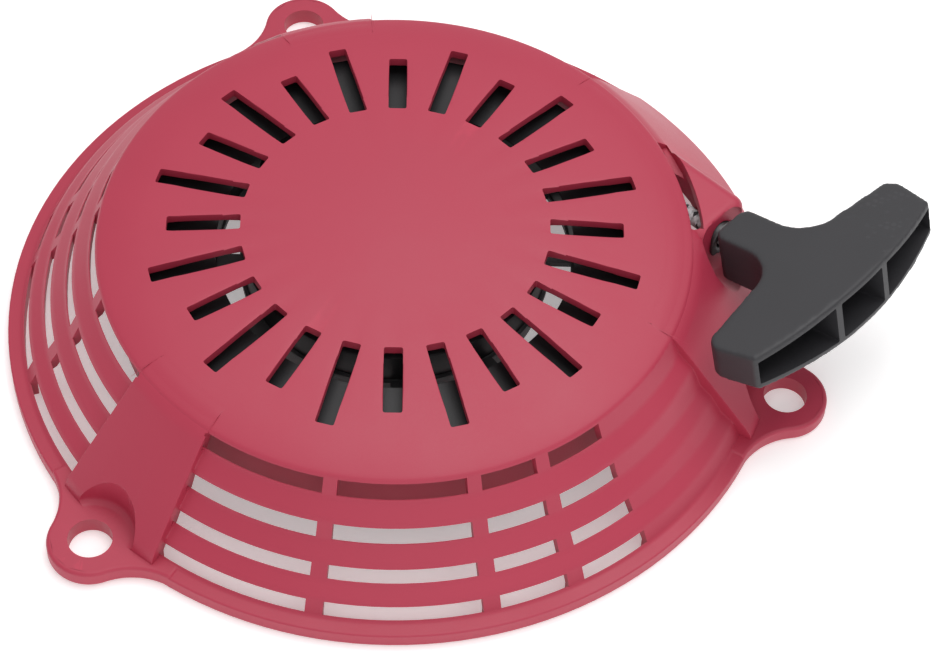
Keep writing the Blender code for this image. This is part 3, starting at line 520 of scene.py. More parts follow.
def round_clear_edges(obj, width, angle_deg=32.0):
    """Rounds the sharp edges that run on without a junction and have room beside them."""
    bm = bmesh.new()
    bm.from_mesh(obj.data)
    weight = bm.edges.layers.float.new("bevel_weight_edge")
    sharp = {edge for edge in bm.edges
             if len(edge.link_faces) == 2 and edge.calc_face_angle(0.0) > radians(angle_deg)}
    roomy = set()
    for vert in bm.verts:
        if sum(edge in sharp for edge in vert.link_edges) == 2:
            if min(edge.calc_length() for edge in vert.link_edges) > 1.6 * width:
                roomy.add(vert)
    for edge in sharp:
        if edge.verts[0] in roomy and edge.verts[1] in roomy:
            edge[weight] = 1.0
    bm.to_mesh(obj.data)
    bm.free()
    edge = obj.modifiers.new("round", "BEVEL")
    edge.width = width
    edge.segments = 2
    edge.limit_method = "WEIGHT"
    edge.use_clamp_overlap = False
    return applied(obj)


def shade(obj, angle_deg=40.0):
    obj.data.shade_smooth()
    obj.data.set_sharp_from_angle(angle=radians(angle_deg))
    even = obj.modifiers.new("even", "WEIGHTED_NORMAL")
    even.keep_sharp = True
    return applied(obj)


# ---------------------------------------------------------------- repeats and paths as geometry nodes
def new_tree(name, inputs):
    """A geometry tree with named inputs, and its first and last nodes."""
    tree = bpy.data.node_groups.new(name, "GeometryNodeTree")
    face = tree.interface
    face.new_socket("Geometry", in_out="INPUT", socket_type="NodeSocketGeometry")
    for label, kind, default in inputs:
        socket = face.new_socket(label, in_out="INPUT", socket_type=kind)
        if default is not None:
            socket.default_value = default
    face.new_socket("Geometry", in_out="OUTPUT", socket_type="NodeSocketGeometry")
    return tree, tree.nodes.new("NodeGroupInput"), tree.nodes.new("NodeGroupOutput")


def close_tree(tree, start, end, result):
    """Ends a tree with plain geometry in its material."""
    realize = tree.nodes.new("GeometryNodeRealizeInstances")
    finish = tree.nodes.new("GeometryNodeSetMaterial")
    tree.links.new(result, realize.inputs["Geometry"])
    tree.links.new(realize.outputs["Geometry"], finish.inputs["Geometry"])
    tree.links.new(start.outputs["Material"], finish.inputs["Material"])
    tree.links.new(finish.outputs["Geometry"], end.inputs["Geometry"])
    return tree


def ring_tree():
    """Repeats a shape evenly round the Z axis."""
    tree, start, end = new_tree("repeat_round", (
        ("Count", "NodeSocketInt", 12), ("Phase", "NodeSocketFloat", 0.0), ("Material", "NodeSocketMaterial", None),
    ))
    nodes, links = tree.nodes, tree.links
    line = nodes.new("GeometryNodeMeshLine")
    line.inputs["Offset"].default_value = (0.0, 0.0, 0.0)
    index = nodes.new("GeometryNodeInputIndex")
    share = nodes.new("ShaderNodeMath")
    share.operation = "DIVIDE"
    turn = nodes.new("ShaderNodeMath")
    turn.operation = "MULTIPLY_ADD"
    turn.inputs[1].default_value = 2 * pi
    angles = nodes.new("ShaderNodeCombineXYZ")
    copies = nodes.new("GeometryNodeInstanceOnPoints")
    links.new(start.outputs["Count"], line.inputs["Count"])
    links.new(index.outputs["Index"], share.inputs[0])
    links.new(start.outputs["Count"], share.inputs[1])
    links.new(share.outputs[0], turn.inputs[0])
    links.new(start.outputs["Phase"], turn.inputs[2])
    links.new(turn.outputs[0], angles.inputs["Z"])
    links.new(line.outputs["Mesh"], copies.inputs["Points"])
    links.new(start.outputs["Geometry"], copies.inputs["Instance"])
    links.new(angles.outputs["Vector"], copies.inputs["Rotation"])
    return close_tree(tree, start, end, copies.outputs["Instances"])


def path_tree():
    """Sweeps a round section along a path and marks each point's place along and around it."""
    tree, start, end = new_tree("round_path", (
        ("Radius", "NodeSocketFloat", ROPE_R), ("Sides", "NodeSocketInt", ROPE_SIDES),
        ("Material", "NodeSocketMaterial", None),
    ))
    nodes, links = tree.nodes, tree.links
    place = nodes.new("GeometryNodeSplineParameter")
    along = nodes.new("GeometryNodeStoreNamedAttribute")
    along.inputs["Name"].default_value = "along"
    around = nodes.new("GeometryNodeStoreNamedAttribute")
    around.inputs["Name"].default_value = "around"
    section = nodes.new("GeometryNodeCurvePrimitiveCircle")
    sweep = nodes.new("GeometryNodeCurveToMesh")
    sweep.inputs["Fill Caps"].default_value = True
    links.new(start.outputs["Geometry"], along.inputs["Geometry"])
    links.new(place.outputs["Length"], along.inputs["Value"])
    links.new(start.outputs["Radius"], section.inputs["Radius"])
    links.new(start.outputs["Sides"], section.inputs["Resolution"])
    links.new(section.outputs["Curve"], around.inputs["Geometry"])
    links.new(place.outputs["Factor"], around.inputs["Value"])
    links.new(along.outputs["Geometry"], sweep.inputs["Curve"])
    links.new(around.outputs["Geometry"], sweep.inputs["Profile Curve"])
    return close_tree(tree, start, end, sweep.outputs["Mesh"])


def strip_tree():
    """Sweeps a flat strip's section along a path."""
    tree, start, end = new_tree("strip_path", (
        ("Thickness", "NodeSocketFloat", SPRING_T), ("Height", "NodeSocketFloat", 10 * MM),
        ("Material", "NodeSocketMaterial", None),
    ))
    nodes, links = tree.nodes, tree.links
    section = nodes.new("GeometryNodeCurvePrimitiveQuadrilateral")
    sweep = nodes.new("GeometryNodeCurveToMesh")
    sweep.inputs["Fill Caps"].default_value = True
    links.new(start.outputs["Thickness"], section.inputs["Width"])
    links.new(start.outputs["Height"], section.inputs["Height"])
    links.new(start.outputs["Geometry"], sweep.inputs["Curve"])
    links.new(section.outputs["Curve"], sweep.inputs["Profile Curve"])
    return close_tree(tree, start, end, sweep.outputs["Mesh"])


def grown(obj, tree, values):
    """Runs a geometry tree on an object and keeps the result as a plain mesh."""
    step = obj.modifiers.new("grow", "NODES")
    step.node_group = tree
    for item in tree.interface.items_tree:
        if item.item_type == "SOCKET" and item.in_out == "INPUT" and item.name in values:
            step[item.identifier] = values[item.name]
    bpy.context.view_layer.update()
    made = bpy.data.meshes.new_from_object(obj.evaluated_get(bpy.context.evaluated_depsgraph_get()))
    name = obj.name
    bpy.data.objects.remove(obj, do_unlink=True)
    made.name = name
    plain = bpy.data.objects.new(name, made)
    bpy.context.scene.collection.objects.link(plain)
    return plain


def path_object(name, points, cyclic=False):
    curve = bpy.data.curves.new(name, "CURVE")
    curve.dimensions = "3D"
    spline = curve.splines.new("POLY")
    spline.points.add(len(points) - 1)
    for point, place in zip(spline.points, points):
        point.co = (*place, 1.0)
    spline.use_cyclic_u = cyclic
    made = bpy.data.objects.new(name, curve)
    bpy.context.scene.collection.objects.link(made)
    return made


def outward(obj):
    """Turns the faces of a closed mesh outwards."""
    bm = bmesh.new()
    bm.from_mesh(obj.data)
    bmesh.ops.remove_doubles(bm, verts=bm.verts, dist=WELD / 4)
    bmesh.ops.recalc_face_normals(bm, faces=bm.faces)
    bm.to_mesh(obj.data)
    bm.free()
    return obj


def wire(name, points, radius, finish, sides=WIRE_SIDES, cyclic=False):
    """A round wire or rope along its points."""
    values = {"Radius": radius, "Sides": sides, "Material": finish}
    made = outward(grown(path_object(name, points, cyclic), path_tree(), values))
    made.data.shade_smooth()
    made.data.set_sharp_from_angle(angle=radians(50.0))
    return made


# ---------------------------------------------------------------- materials
class Shader:
    """A material's node tree, with short ways to add to it."""

    def __init__(self, name):
        self.made = bpy.data.materials.new(name)
        self.made.use_nodes = True
        self.nodes = self.made.node_tree.nodes
        self.links = self.made.node_tree.links
        self.principled = self.nodes["Principled BSDF"]
        self.place = self.nodes.new("ShaderNodeTexCoord").outputs["Object"]

    def math(self, operation, *values):
        node = self.nodes.new("ShaderNodeMath")
        node.operation = operation
        for socket, value in zip(node.inputs, values):
            self.put(value, socket)
        return node.outputs[0]

    def put(self, value, socket):
        if isinstance(value, (int, float)):
            socket.default_value = value
        else:
            self.links.new(value, socket)

    def noise(self, scale, detail=3.0, roughness=0.5, place=None):
        node = self.nodes.new("ShaderNodeTexNoise")
        node.inputs["Scale"].default_value = scale
        node.inputs["Detail"].default_value = detail
        node.inputs["Roughness"].default_value = roughness
        self.links.new(place or self.place, node.inputs["Vector"])
        return node.outputs["Fac"]

    def stretch(self, value, low, high, to_low, to_high):
        node = self.nodes.new("ShaderNodeMapRange")
        self.put(value, node.inputs["Value"])
        node.inputs["From Min"].default_value = low
        node.inputs["From Max"].default_value = high
        node.inputs["To Min"].default_value = to_low
        node.inputs["To Max"].default_value = to_high
        return node.outputs["Result"]

    def mix(self, share, first, second):
        node = self.nodes.new("ShaderNodeMix")
        node.data_type = "RGBA"
        self.put(share, node.inputs["Factor"])
        for colour, socket in ((first, node.inputs[6]), (second, node.inputs[7])):
            if isinstance(colour, tuple):
                socket.default_value = (*colour, 1.0)
            else:
                self.links.new(colour, socket)
        return node.outputs[2]

    def bump(self, height, strength, distance, normal=None):
        node = self.nodes.new("ShaderNodeBump")
        node.inputs["Strength"].default_value = strength
        node.inputs["Distance"].default_value = distance
        self.links.new(height, node.inputs["Height"])
        if normal:
            self.links.new(normal, node.inputs["Normal"])
        return node.outputs["Normal"]

    def edge_mask(self):
        """How far a point stands on an outer edge, from 0 to 1."""
        shape = self.nodes.new("ShaderNodeNewGeometry")
        return self.stretch(shape.outputs["Pointiness"], 0.54, 0.64, 0.0, 1.0)

    def finish(self, colour, roughness, normal=None, metallic=0.0, sheen=0.0):
        self.links.new(colour, self.principled.inputs["Base Color"])
        self.put(roughness, self.principled.inputs["Roughness"])
        self.principled.inputs["Metallic"].default_value = metallic
        self.principled.inputs["Sheen Weight"].default_value = sheen
        if normal:
            self.links.new(normal, self.principled.inputs["Normal"])
        return self.made


def scaled(colour, factor):
    return tuple(min(1.0, part * factor) for part in colour)


def moulded(name, colour, roughness, grain, mottle=0.08, wear_and_highlight_lift=1.35):
    """Moulded plastic: fine grain, faint mottling, uneven gloss, and outer edges lightened, partly as rubbed wear and
    partly as a painted highlight.
    """
    shader = Shader(name)
    cloud = shader.noise(38.0, 4.0, 0.55)
    base = shader.mix(cloud, scaled(colour, 1.0 - mottle), scaled(colour, 1.0 + mottle))
    patches = shader.stretch(shader.noise(260.0, 3.0), 0.4, 0.7, 0.15, 0.6)
    # painted highlight: the outer edges are lightened, partly as rubbed wear and partly as a painted highlight along
    # the lit edges
    rubbed_and_highlit = shader.math("MULTIPLY", shader.edge_mask(), patches)
    base = shader.mix(rubbed_and_highlit, base, scaled(colour, wear_and_highlight_lift))
    fine = shader.noise(2600.0, 2.0, 0.6)
    broad = shader.noise(90.0, 2.0)
    normal = shader.bump(fine, grain, 0.06 * MM)
    normal = shader.bump(broad, 0.12, 0.4 * MM, normal)
    gloss = shader.math("ADD", shader.stretch(cloud, 0.3, 0.7, roughness - 0.04, roughness + 0.05),
                        shader.stretch(fine, 0.2, 0.8, -0.05, 0.05))
    return shader.finish(base, gloss, normal)


def metal(name, colour, roughness, stretch):
    """Worked metal: fine lines across it, uneven gloss and bright edges."""
    shader = Shader(name)
    lay = shader.nodes.new("ShaderNodeMapping")
    lay.inputs["Scale"].default_value = stretch
    shader.links.new(shader.place, lay.inputs["Vector"])
    lines = shader.noise(900.0, 3.0, 0.65, lay.outputs["Vector"])
    cloud = shader.noise(120.0, 3.0)
    base = shader.mix(cloud, scaled(colour, 0.84), scaled(colour, 1.08))
    base = shader.mix(shader.math("MULTIPLY", shader.edge_mask(), 0.5), base, scaled(colour, 1.4))
    gloss = shader.math("ADD", shader.stretch(lines, 0.2, 0.8, -0.08, 0.1),
                        shader.stretch(cloud, 0.3, 0.7, roughness - 0.05, roughness + 0.08))
    return shader.finish(base, gloss, shader.bump(lines, 0.25, 0.05 * MM), metallic=1.0)


def plaited(shader, along, around):
    """A diamond plait from a distance along the rope and a share of the way round it."""
    pitch = settings().rope.weave
    step = shader.math("MULTIPLY", along, 2 * pi / pitch)
    turn = shader.math("MULTIPLY", around, 8 * pi)
    one = shader.math("SINE", shader.math("ADD", step, turn))
    two = shader.math("SINE", shader.math("SUBTRACT", step, turn))
    relief = shader.math("MAXIMUM", shader.math("ABSOLUTE", one), shader.math("ABSOLUTE", two))
    both = [shader.math("GREATER_THAN", part, 0.35) for part in (one, two)]
    dark = shader.math("MULTIPLY", *both)
    fuzz = shader.noise(1900.0, 3.0, 0.7)
    yarn = shader.mix(fuzz, scaled(settings().rope.colour, 0.78), scaled(settings().rope.colour, 1.1))
    # painted shade: the yarn is darkened towards a quarter of its colour down in the plait's grooves, where shade
    # would fall
    painted_groove_shade = scaled(settings().rope.colour, 0.25)
    yarn = shader.mix(shader.stretch(relief, 0.3, 0.95, 0.55, 0.0), yarn, painted_groove_shade)
    base = shader.mix(dark, yarn, tuple(settings().rope.fleck))
    normal = shader.bump(relief, 0.6, 0.35 * MM, shader.bump(fuzz, 0.4, 0.1 * MM))
    return shader.finish(base, 0.85, normal, sheen=0.3)


def wound_rope(name):
    """Plaited rope marked along and around itself."""
    shader = Shader(name)
    marks = []
    for label in ("along", "around"):
        mark = shader.nodes.new("ShaderNodeAttribute")
        mark.attribute_name = label
        marks.append(mark.outputs["Fac"])
    return plaited(shader, *marks)


def straight_rope(name, lie):
    """Plaited rope that runs along the X axis of a frame."""
    shader = Shader(name)
    back = lie.inverted()
    mapping = shader.nodes.new("ShaderNodeMapping")
    mapping.inputs["Location"].default_value = back.translation
    mapping.inputs["Rotation"].default_value = back.to_euler()
    parts = shader.nodes.new("ShaderNodeSeparateXYZ")
    shader.links.new(shader.place, mapping.inputs["Vector"])
    shader.links.new(mapping.outputs["Vector"], parts.inputs["Vector"])
    around = shader.math("DIVIDE", shader.math("ARCTAN2", parts.outputs["Y"], parts.outputs["Z"]), 2 * pi)
    return plaited(shader, parts.outputs["X"], around)


def paper(name, colour, glow):
    """A plain pale floor with a faint unevenness, lit a little from below."""
    shader = Shader(name)
    cloud = shader.noise(3.0, 2.0)
    base = shader.mix(cloud, scaled(colour, 0.995), scaled(colour, 1.005))
    shader.principled.inputs["Emission Color"].default_value = (1.0, 1.0, 1.0, 1.0)
    shader.principled.inputs["Emission Strength"].default_value = glow
    return shader.finish(base, 0.9)


def finish_named(name):
    """The finished material of that name, made when first asked for."""
    if name in bpy.data.materials:
        return bpy.data.materials[name]
    kit = settings()
    if name == "finish_red":
        return moulded(name, tuple(kit.cover.colour), 0.46, 0.28, mottle=0.035, wear_and_highlight_lift=1.25)
    if name == "finish_black":
        return moulded(name, tuple(kit.handle.colour), 0.5, 0.4, mottle=0.12, wear_and_highlight_lift=1.8)
    if name == "finish_reel":
        return moulded(name, tuple(kit.reel.colour), 0.45, 0.25, mottle=0.15, wear_and_highlight_lift=1.8)
    if name == "finish_steel":
        return metal(name, tuple(kit.metal.steel), 0.34, (1.0, 0.15, 1.0))
    # painted shade: the eyelet's steel is darkened to a fifth so that it sits dark in the shaded mouth of the hood
    if name == "finish_steel_painted_shade":
        return metal(name, scaled(kit.metal.steel, 0.22), 0.5, (1.0, 1.0, 1.0))
    if name == "finish_brass":
        return metal(name, tuple(kit.metal.brass), 0.3, (1.0, 1.0, 0.2))
    if name == "finish_rope_wound":
        return wound_rope(name)
    if name == "finish_rope_straight":
        return straight_rope(name, pull_frame)
    raise ValueError(f"no finish is called {name}")


FINISH_OF_SLOT = {
    "red_plastic": "finish_red", "black_plastic": "finish_black", "reel_plastic": "finish_reel",
    "steel": "finish_steel", "brass": "finish_brass", "rope": "finish_rope_wound",
}


def dress(obj, slot, finish=None):
    """Gives a piece the one material of its slot, or the finish named."""
    obj.data.materials.clear()
    obj.data.materials.append(finish_named(finish or FINISH_OF_SLOT[slot]))
    return obj


def settle(obj, slot, body, nodes, finish=None):
    """Puts a finished piece on its body in place of the frame's own nodes."""
    dress(obj, slot, finish)
    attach(obj, body)
    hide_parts(*nodes)
    return obj


# ---------------------------------------------------------------- cover
def disc_height(r):
    """Height of the disc's upper face at a radius."""
    top = settings().cover.height - DISC_FALL * r * r
    share = max(0.0, (r - disc_edge_r + DISC_SHOULDER) / DISC_SHOULDER)
    extra = DISC_EDGE_DROP - DISC_FALL * disc_edge_r ** 2
    return top - extra * share * share


def on_side(share):
    """A point on the side from its shares of the run and of the fall."""
    edge_z = settings().cover.height - DISC_EDGE_DROP
    return disc_edge_r + share[0] * SIDE_RUN, edge_z - share[1] * (edge_z - FLANGE_Z)


def cover_outline(fine=True):
    """The cover's outer side, from the disc's centre down to the flange."""
    side = []
    for top, foot in zip(STEP_TOPS, STEP_FEET):
        side += [on_side(top), on_side(foot)]
    radii = [disc_edge_r * share for share in (0.0, 0.15, 0.3, 0.45, 0.58, 0.68, 0.76, 0.84, 0.9, 0.95, 0.98)]
    disc = [(r, disc_height(r)) for r in radii]
    if fine:
        side = rounded([disc[-1], *side, (flange_r, FLANGE_Z)], STEP_ROUND, 3)[1:-1]
    return disc + side


def inset(outline, depth):
    """The outline moved inwards by the wall."""
    moved = []
    for i, (r, z) in enumerate(outline):
        ahead = outline[min(i + 1, len(outline) - 1)]
        behind = outline[max(i - 1, 0)]
        before = Vector((r - behind[0], z - behind[1])) if i else Vector((1.0, 0.0))
        after = Vector((ahead[0] - r, ahead[1] - z)) if i < len(outline) - 1 else before
        n0 = Vector((before.y, -before.x)).normalized()
        n1 = Vector((after.y, -after.x)).normalized()
        half = (n0 + n1).normalized()
        reach = depth / max(half.dot(n0), 0.5)
        moved.append((r + half.x * reach if i else 0.0, z + half.y * reach))
    return moved


def lug_outline():
    """A lug in plan, on the X axis: a round tip with hollow fillets down to the flange circle."""
    reach = flange_r + LUG_FILLET_R
    tip_reach = LUG_TIP_R + LUG_FILLET_R
    cosine = (reach ** 2 + bolt_r ** 2 - tip_reach ** 2) / (2 * reach * bolt_r)
    spread = atan2((1 - cosine ** 2) ** 0.5, cosine)
    fx, fy = reach * cos(spread), reach * sin(spread)
    root, tip = degrees(spread), degrees(atan2(fy, fx - bolt_r))
    inner_r = flange_r - LUG_ROOT
    points = [(inner_r * cos(spread), -inner_r * sin(spread))]
    points += arc(fx, -fy, LUG_FILLET_R, 180.0 - root, 180.0 - tip, 14)
    points += arc(bolt_r, 0.0, LUG_TIP_R, -tip, tip, 36)[1:-1]
    points += arc(fx, fy, LUG_FILLET_R, 180.0 + tip, 180.0 + root, 14)
    return points + [(inner_r * cos(spread), inner_r * sin(spread))]


def stretches(ends, ribs):
    """The openings between the ribs of one stretch."""
    starts = [ends[0]] + [rib + RIB_WIDTH_DEG / 2 for rib in ribs]
    stops = [rib - RIB_WIDTH_DEG / 2 for rib in ribs] + [ends[1]]
    return list(zip(starts, stops))


def opening_section(top, foot):
    """The section of one louvre opening, through the wall's steep part."""
    inner, sill = top[0] - WALL - OVERCUT, foot[0] - OPENING_LIFT
    return [
        (inner, top[1] - WALL), (top[0] + OVERCUT, top[1] - OPENING_LIFT),
        (foot[0] + OVERCUT, foot[1] + OPENING_LIFT),
        (sill, foot[1] + OPENING_LIFT), (sill, foot[1] - 2 * WALL), (inner, foot[1] - 2 * WALL),
    ]


def lug_matrix(angle_deg, r=0.0):
    return Matrix.Rotation(radians(angle_deg), 4, "Z") @ Matrix.Translation((r, 0.0, 0.0))


def cover_body():
    """The cover's outer solid: turned side and disc, lugs, ramps and hood."""
    outline = cover_outline()
    lip = rounded([outline[-1], (flange_r, FLANGE_Z), (flange_r, 0.0), (0.0, 0.0)], 0.5 * MM, 3)[1:]
    body = turned("cover_moulding", outline + lip, COVER_STEPS, closed=False)
    edge_r, edge_z = on_side(STEP_TOPS[0])
    head_r = edge_r - RAMP_HEAD_RUN
    near_r = edge_r - 4.0 * MM
    ramp = [(head_r, disc_height(head_r) - 0.05 * MM), (near_r, disc_height(near_r) + 0.15 * MM),
            (edge_r - 1.0 * MM, edge_z + 0.3 * MM), (edge_r + 2.0 * MM, edge_z - 1.5 * MM),
            (flange_r - 0.5 * MM, FLANGE_Z + RAMP_FOOT_PROUD - 0.4 * MM), (flange_r - 0.5 * MM, 0.3 * MM),
            (head_r, 0.3 * MM)]
    for angle in LUG_ANGLES_DEG:
        lug = prism("lug", lug_outline(), 0.0, LUG_Z, lug_matrix(angle))
        combine(body, round_edges(lug, LUG_ROUND, 3, 50.0), "UNION")
    bm = bmesh.new()
    for angle in LUG_ANGLES_DEG:
        end = SLOPE_END_DEG if angle == LUG_ANGLES_DEG[-1] else angle + RAMP_HALF_DEG
        add_sector(bm, rounded(ramp, 3.0 * MM, 3, closed=True), angle - RAMP_HALF_DEG, end)
    combine(body, mesh_object("ramps", bm), "UNION")
    hood = prism("hood", box_outline(HOOD_BACK, hood_mouth, -HOOD_INNER_SIDE, HOOD_OUTER_SIDE), 0.5 * MM, hood_top_z,
                 rope_frame)
    combine(body, round_edges(hood, HOOD_ROUND, 5, 60.0), "UNION")
    return body


def cover_cavity():
    """The hollow under the cover, less the walls of the lug recesses and of the stem's hollow."""
    side = inset(cover_outline(fine=False), WALL)
    side[-1] = (side[-1][0], FLANGE_Z)
    profile = side + [(side[-1][0], -OVERCUT), (0.0, -OVERCUT)]
    cavity = turned("cavity", profile, COVER_STEPS, closed=False)
    bm = bmesh.new()
    for angle in LUG_ANGLES_DEG:
        add_prism(bm, circle(RECESS_R + WALL, 48), -2 * OVERCUT, settings().cover.height, lug_matrix(angle, bolt_r))
    combine(cavity, mesh_object("recess_walls", bm), "DIFFERENCE")
    lie = pull_frame @ Matrix.Rotation(pi / 2, 4, "Y")
    wall = cylinder("valley_wall", VALLEY_R + WALL, -WALL, flange_r, matrix=lie)
    return combine(cavity, wall, "DIFFERENCE")


def cut_openings(body):
    """The disc's slots, the louvres and the window over the rope."""
    half = settings().cover.slot_width / 2
    for first, length in ((0, SLOT_LONG), (1, SLOT_SHORT)):
        outline = box_outline(SLOT_INNER_R, SLOT_INNER_R + length, -half, half)
        outline = rounded(outline, 0.6 * MM, 3, closed=True)
        slot = prism("slot", outline, CUP_TOP_Z - 2 * OVERCUT, settings().cover.height + OVERCUT)
        values = {"Count": SLOT_COUNT // 2, "Phase": 2 * pi * first / SLOT_COUNT}
        combine(body, grown(slot, ring_tree(), values), "DIFFERENCE")
    bm = bmesh.new()
    openings = stretches(FRONT_ENDS_DEG, FRONT_RIBS_DEG) + stretches(LEFT_ENDS_DEG, LEFT_RIBS_DEG)
    for top, foot in zip(STEP_TOPS, STEP_FEET):
        for start, stop in openings:
            add_sector(bm, opening_section(on_side(top), on_side(foot)), start, stop)
    combine(body, mesh_object("louvres", bm), "DIFFERENCE")
    edge_r = disc_edge_r
    high, low = settings().cover.height, channel_z[1] - OVERCUT
    bm = bmesh.new()
    far_r = edge_r + ROPE_WINDOW_WIDTH
    window = [(edge_r, high), (far_r, high), (far_r, low), (edge_r, low)]
    add_sector(bm, window, *ROPE_WINDOW_DEG)
    combine(body, mesh_object("rope_window", bm), "DIFFERENCE")


def build_cover():
    body = cover_body()
    combine(body, cover_cavity(), "DIFFERENCE")
    roof = disc_height(guard_r) - WALL / 2
    height = settings().cover.height
    combine(body, cylinder("post", POST_R, post_end, height - WALL / 2), "UNION")
    combine(body, ring("guard", guard_r, guard_r + GUARD_WALL, GUARD_FOOT_Z, roof, COVER_STEPS), "UNION")
    channel = prism("channel", box_outline(CHANNEL_START, hood_mouth - MOUTH_WALL, -channel_half, channel_half),
                    *channel_z, rope_frame)
    combine(body, channel, "DIFFERENCE")
    bore_r = guide_bore_r + GUIDE_WALL + TOUCH_GAP
    combine(body, cylinder("bore", bore_r, -2 * MOUTH_WALL, OVERCUT, 40, mouth_frame), "DIFFERENCE")
    wide = VALLEY_R + VALLEY_FLARE
    dish = [(0.0, -GUIDE_LIP_T), (VALLEY_R - OVERCUT, -GUIDE_LIP_T), (VALLEY_R, 2 * OVERCUT),
            (wide, VALLEY_RUN), (0.0, VALLEY_RUN)]
    dish = rounded(dish, 2.0 * MM, 5)
    lie = pull_frame @ Matrix.Rotation(pi / 2, 4, "Y")
    combine(body, turned("valley", dish, SMALL_STEPS, lie, closed=False), "DIFFERENCE")
    cut_openings(body)
    for angle in LUG_ANGLES_DEG:
        bowl = [(RECESS_R + RECESS_DRAFT, height), (RECESS_R, LUG_Z), (BOLT_HOLE_R, LUG_Z)]
        bowl = rounded(bowl, RECESS_ROUND, 4)
        profile = [(0.0, height), *bowl[:-1], (BOLT_HOLE_R, LUG_Z), (BOLT_HOLE_R, -OVERCUT), (0.0, -OVERCUT)]
        cut = turned("bolt_cut", profile, SMALL_STEPS, lug_matrix(angle, bolt_r), closed=False)
        combine(body, cut, "DIFFERENCE")
    socket_r = SCREW_R + INSERT_WALL + 2 * TOUCH_GAP
    combine(body, cylinder("socket", socket_r, post_end - OVERCUT, post_end + SCREW_DEPTH, 40), "DIFFERENCE")
    clean(body, 2 * WELD)
    round_clear_edges(body, settings().cover.edge_round)
    settle(shade(clean(body, WELD / 4)), "red_plastic", "cover", ["housing"])


# ---------------------------------------------------------------- what is fixed in the cover
def build_fittings():
    bevel = settings().metal.edge_round
    bore = SCREW_R + TOUCH_GAP
    insert = ring("insert", bore, bore + INSERT_WALL, post_end, post_end + SCREW_DEPTH - TOUCH_GAP)
    settle(shade(round_edges(insert, bevel)), "brass", "cover", ["post_insert"])

    lip, tube = GUIDE_LIP_R, guide_bore_r + GUIDE_WALL
    flare = rounded([(guide_bore_r, -MOUTH_WALL), (guide_bore_r, GUIDE_LIP_T), (lip, GUIDE_LIP_T), (lip, TOUCH_GAP)],
                    0.9 * MM, 5)
    eyelet = turned("eyelet", [*flare, (tube, TOUCH_GAP), (tube, -MOUTH_WALL)], SMALL_STEPS, mouth_frame)
    # the eyelet takes steel darkened as painted shade for the hood's shaded mouth
    settle(shade(eyelet), "steel", "cover", ["rope_guide"], "finish_steel_painted_shade")

    shank_top = post_end + SCREW_DEPTH - 2 * TOUCH_GAP
    profile = [(0.0, shank_top), (SCREW_R - 0.6 * MM, shank_top), (SCREW_R, shank_top - 0.6 * MM), (SCREW_R, head_top),
               (SCREW_HEAD_R, head_top), (SCREW_HEAD_R, head_base + 0.7 * MM), (SCREW_HEAD_R - 1.2 * MM, head_base),
               (0.0, head_base)]
    screw = turned("screw", profile, closed=False)
    socket = cylinder("socket", HEX_SOCKET_R, head_base - OVERCUT, head_base + HEX_SOCKET_DEPTH, 6)
    combine(screw, socket, "DIFFERENCE")
    settle(shade(round_edges(clean(screw), bevel)), "steel", "cover", ["centre_screw"])
    collar = ring("collar", collar_bore, collar_r, collar_base, collar_top)
    settle(shade(round_edges(collar, bevel)), "steel", "cover", ["screw_collar"])
    washer = ring("thrust_ring", collar_bore, WASHER_R, washer_base, washer_top - TOUCH_GAP)
    settle(shade(round_edges(washer, bevel)), "steel", "cover", ["thrust_washer"])
    loop = [(*point, friction_z) for point in circle(FRICTION_RING_R, 96)]
    settle(wire("friction_ring", loop, FRICTION_R, finish_named("finish_steel"), cyclic=True), "steel", "cover",
           ["friction_spring"])


# ---------------------------------------------------------------- reel
def window_middle_deg(k):
    return WINDOW_PHASE_DEG + 360.0 * k / REEL_WINDOWS


def pivot_frame(angle_deg):
    return lug_matrix(angle_deg, PIVOT_R)


def build_reel():
    hub = reel_bore + REEL_HUB_WALL
    inner_drum = DRUM_R - DRUM_WALL
    outline = [
        (reel_bore, CUP_TOP_Z), (hub, CUP_TOP_Z), (hub, floor_top), (cup_inner_r, floor_top), (cup_inner_r, CUP_TOP_Z),
        (cup_outer_r, CUP_TOP_Z), (cup_outer_r, plate_top), (inner_drum, plate_top), (inner_drum, drum_top),
        (rope_outer_r, drum_top), (rope_outer_r, drum_top - FLANGE_PLATE_T),
        (DRUM_R, drum_top - FLANGE_PLATE_T), (DRUM_R, plate_top), (reel_r, plate_top), (reel_r, plate_base),
        (cup_outer_r, plate_base), (cup_outer_r, REEL_BASE_Z), (reel_bore, REEL_BASE_Z),
    ]
    reel = turned("reel_moulding", outline, REEL_STEPS)
    section = [(window_inner_r, plate_base - OVERCUT), (window_outer_r, plate_base - OVERCUT),
               (window_outer_r, plate_top + OVERCUT), (window_inner_r, plate_top + OVERCUT)]
    bm = bmesh.new()
    add_sector(bm, section, -WINDOW_DEG / 2, WINDOW_DEG / 2)
    values = {"Count": REEL_WINDOWS, "Phase": radians(WINDOW_PHASE_DEG)}
    combine(reel, grown(mesh_object("window", bm), ring_tree(), values), "DIFFERENCE")
    for angle in RATCHET_ANGLES_DEG:
        pin = cylinder("pin", PIN_R, pin_foot, floor_top - REEL_FLOOR_T / 2, 40, pivot_frame(angle))
        combine(reel, pin, "UNION")
    turn = Matrix.Rotation(radians(window_middle_deg(REEL_KNOT_WINDOW)), 4, "Z")
    lie = turn @ Matrix.Translation((DRUM_R - 2 * DRUM_WALL, 0.0, ROPE_Z)) @ Matrix.Rotation(pi / 2, 4, "Y")
    combine(reel, cylinder("knot_hole", ROPE_R + TOUCH_GAP, 0.0, 3 * DRUM_WALL, 32, lie), "DIFFERENCE")
    round_clear_edges(clean(reel), settings().reel.edge_round)
    settle(shade(reel), "reel_plastic", "reel", ["reel"])


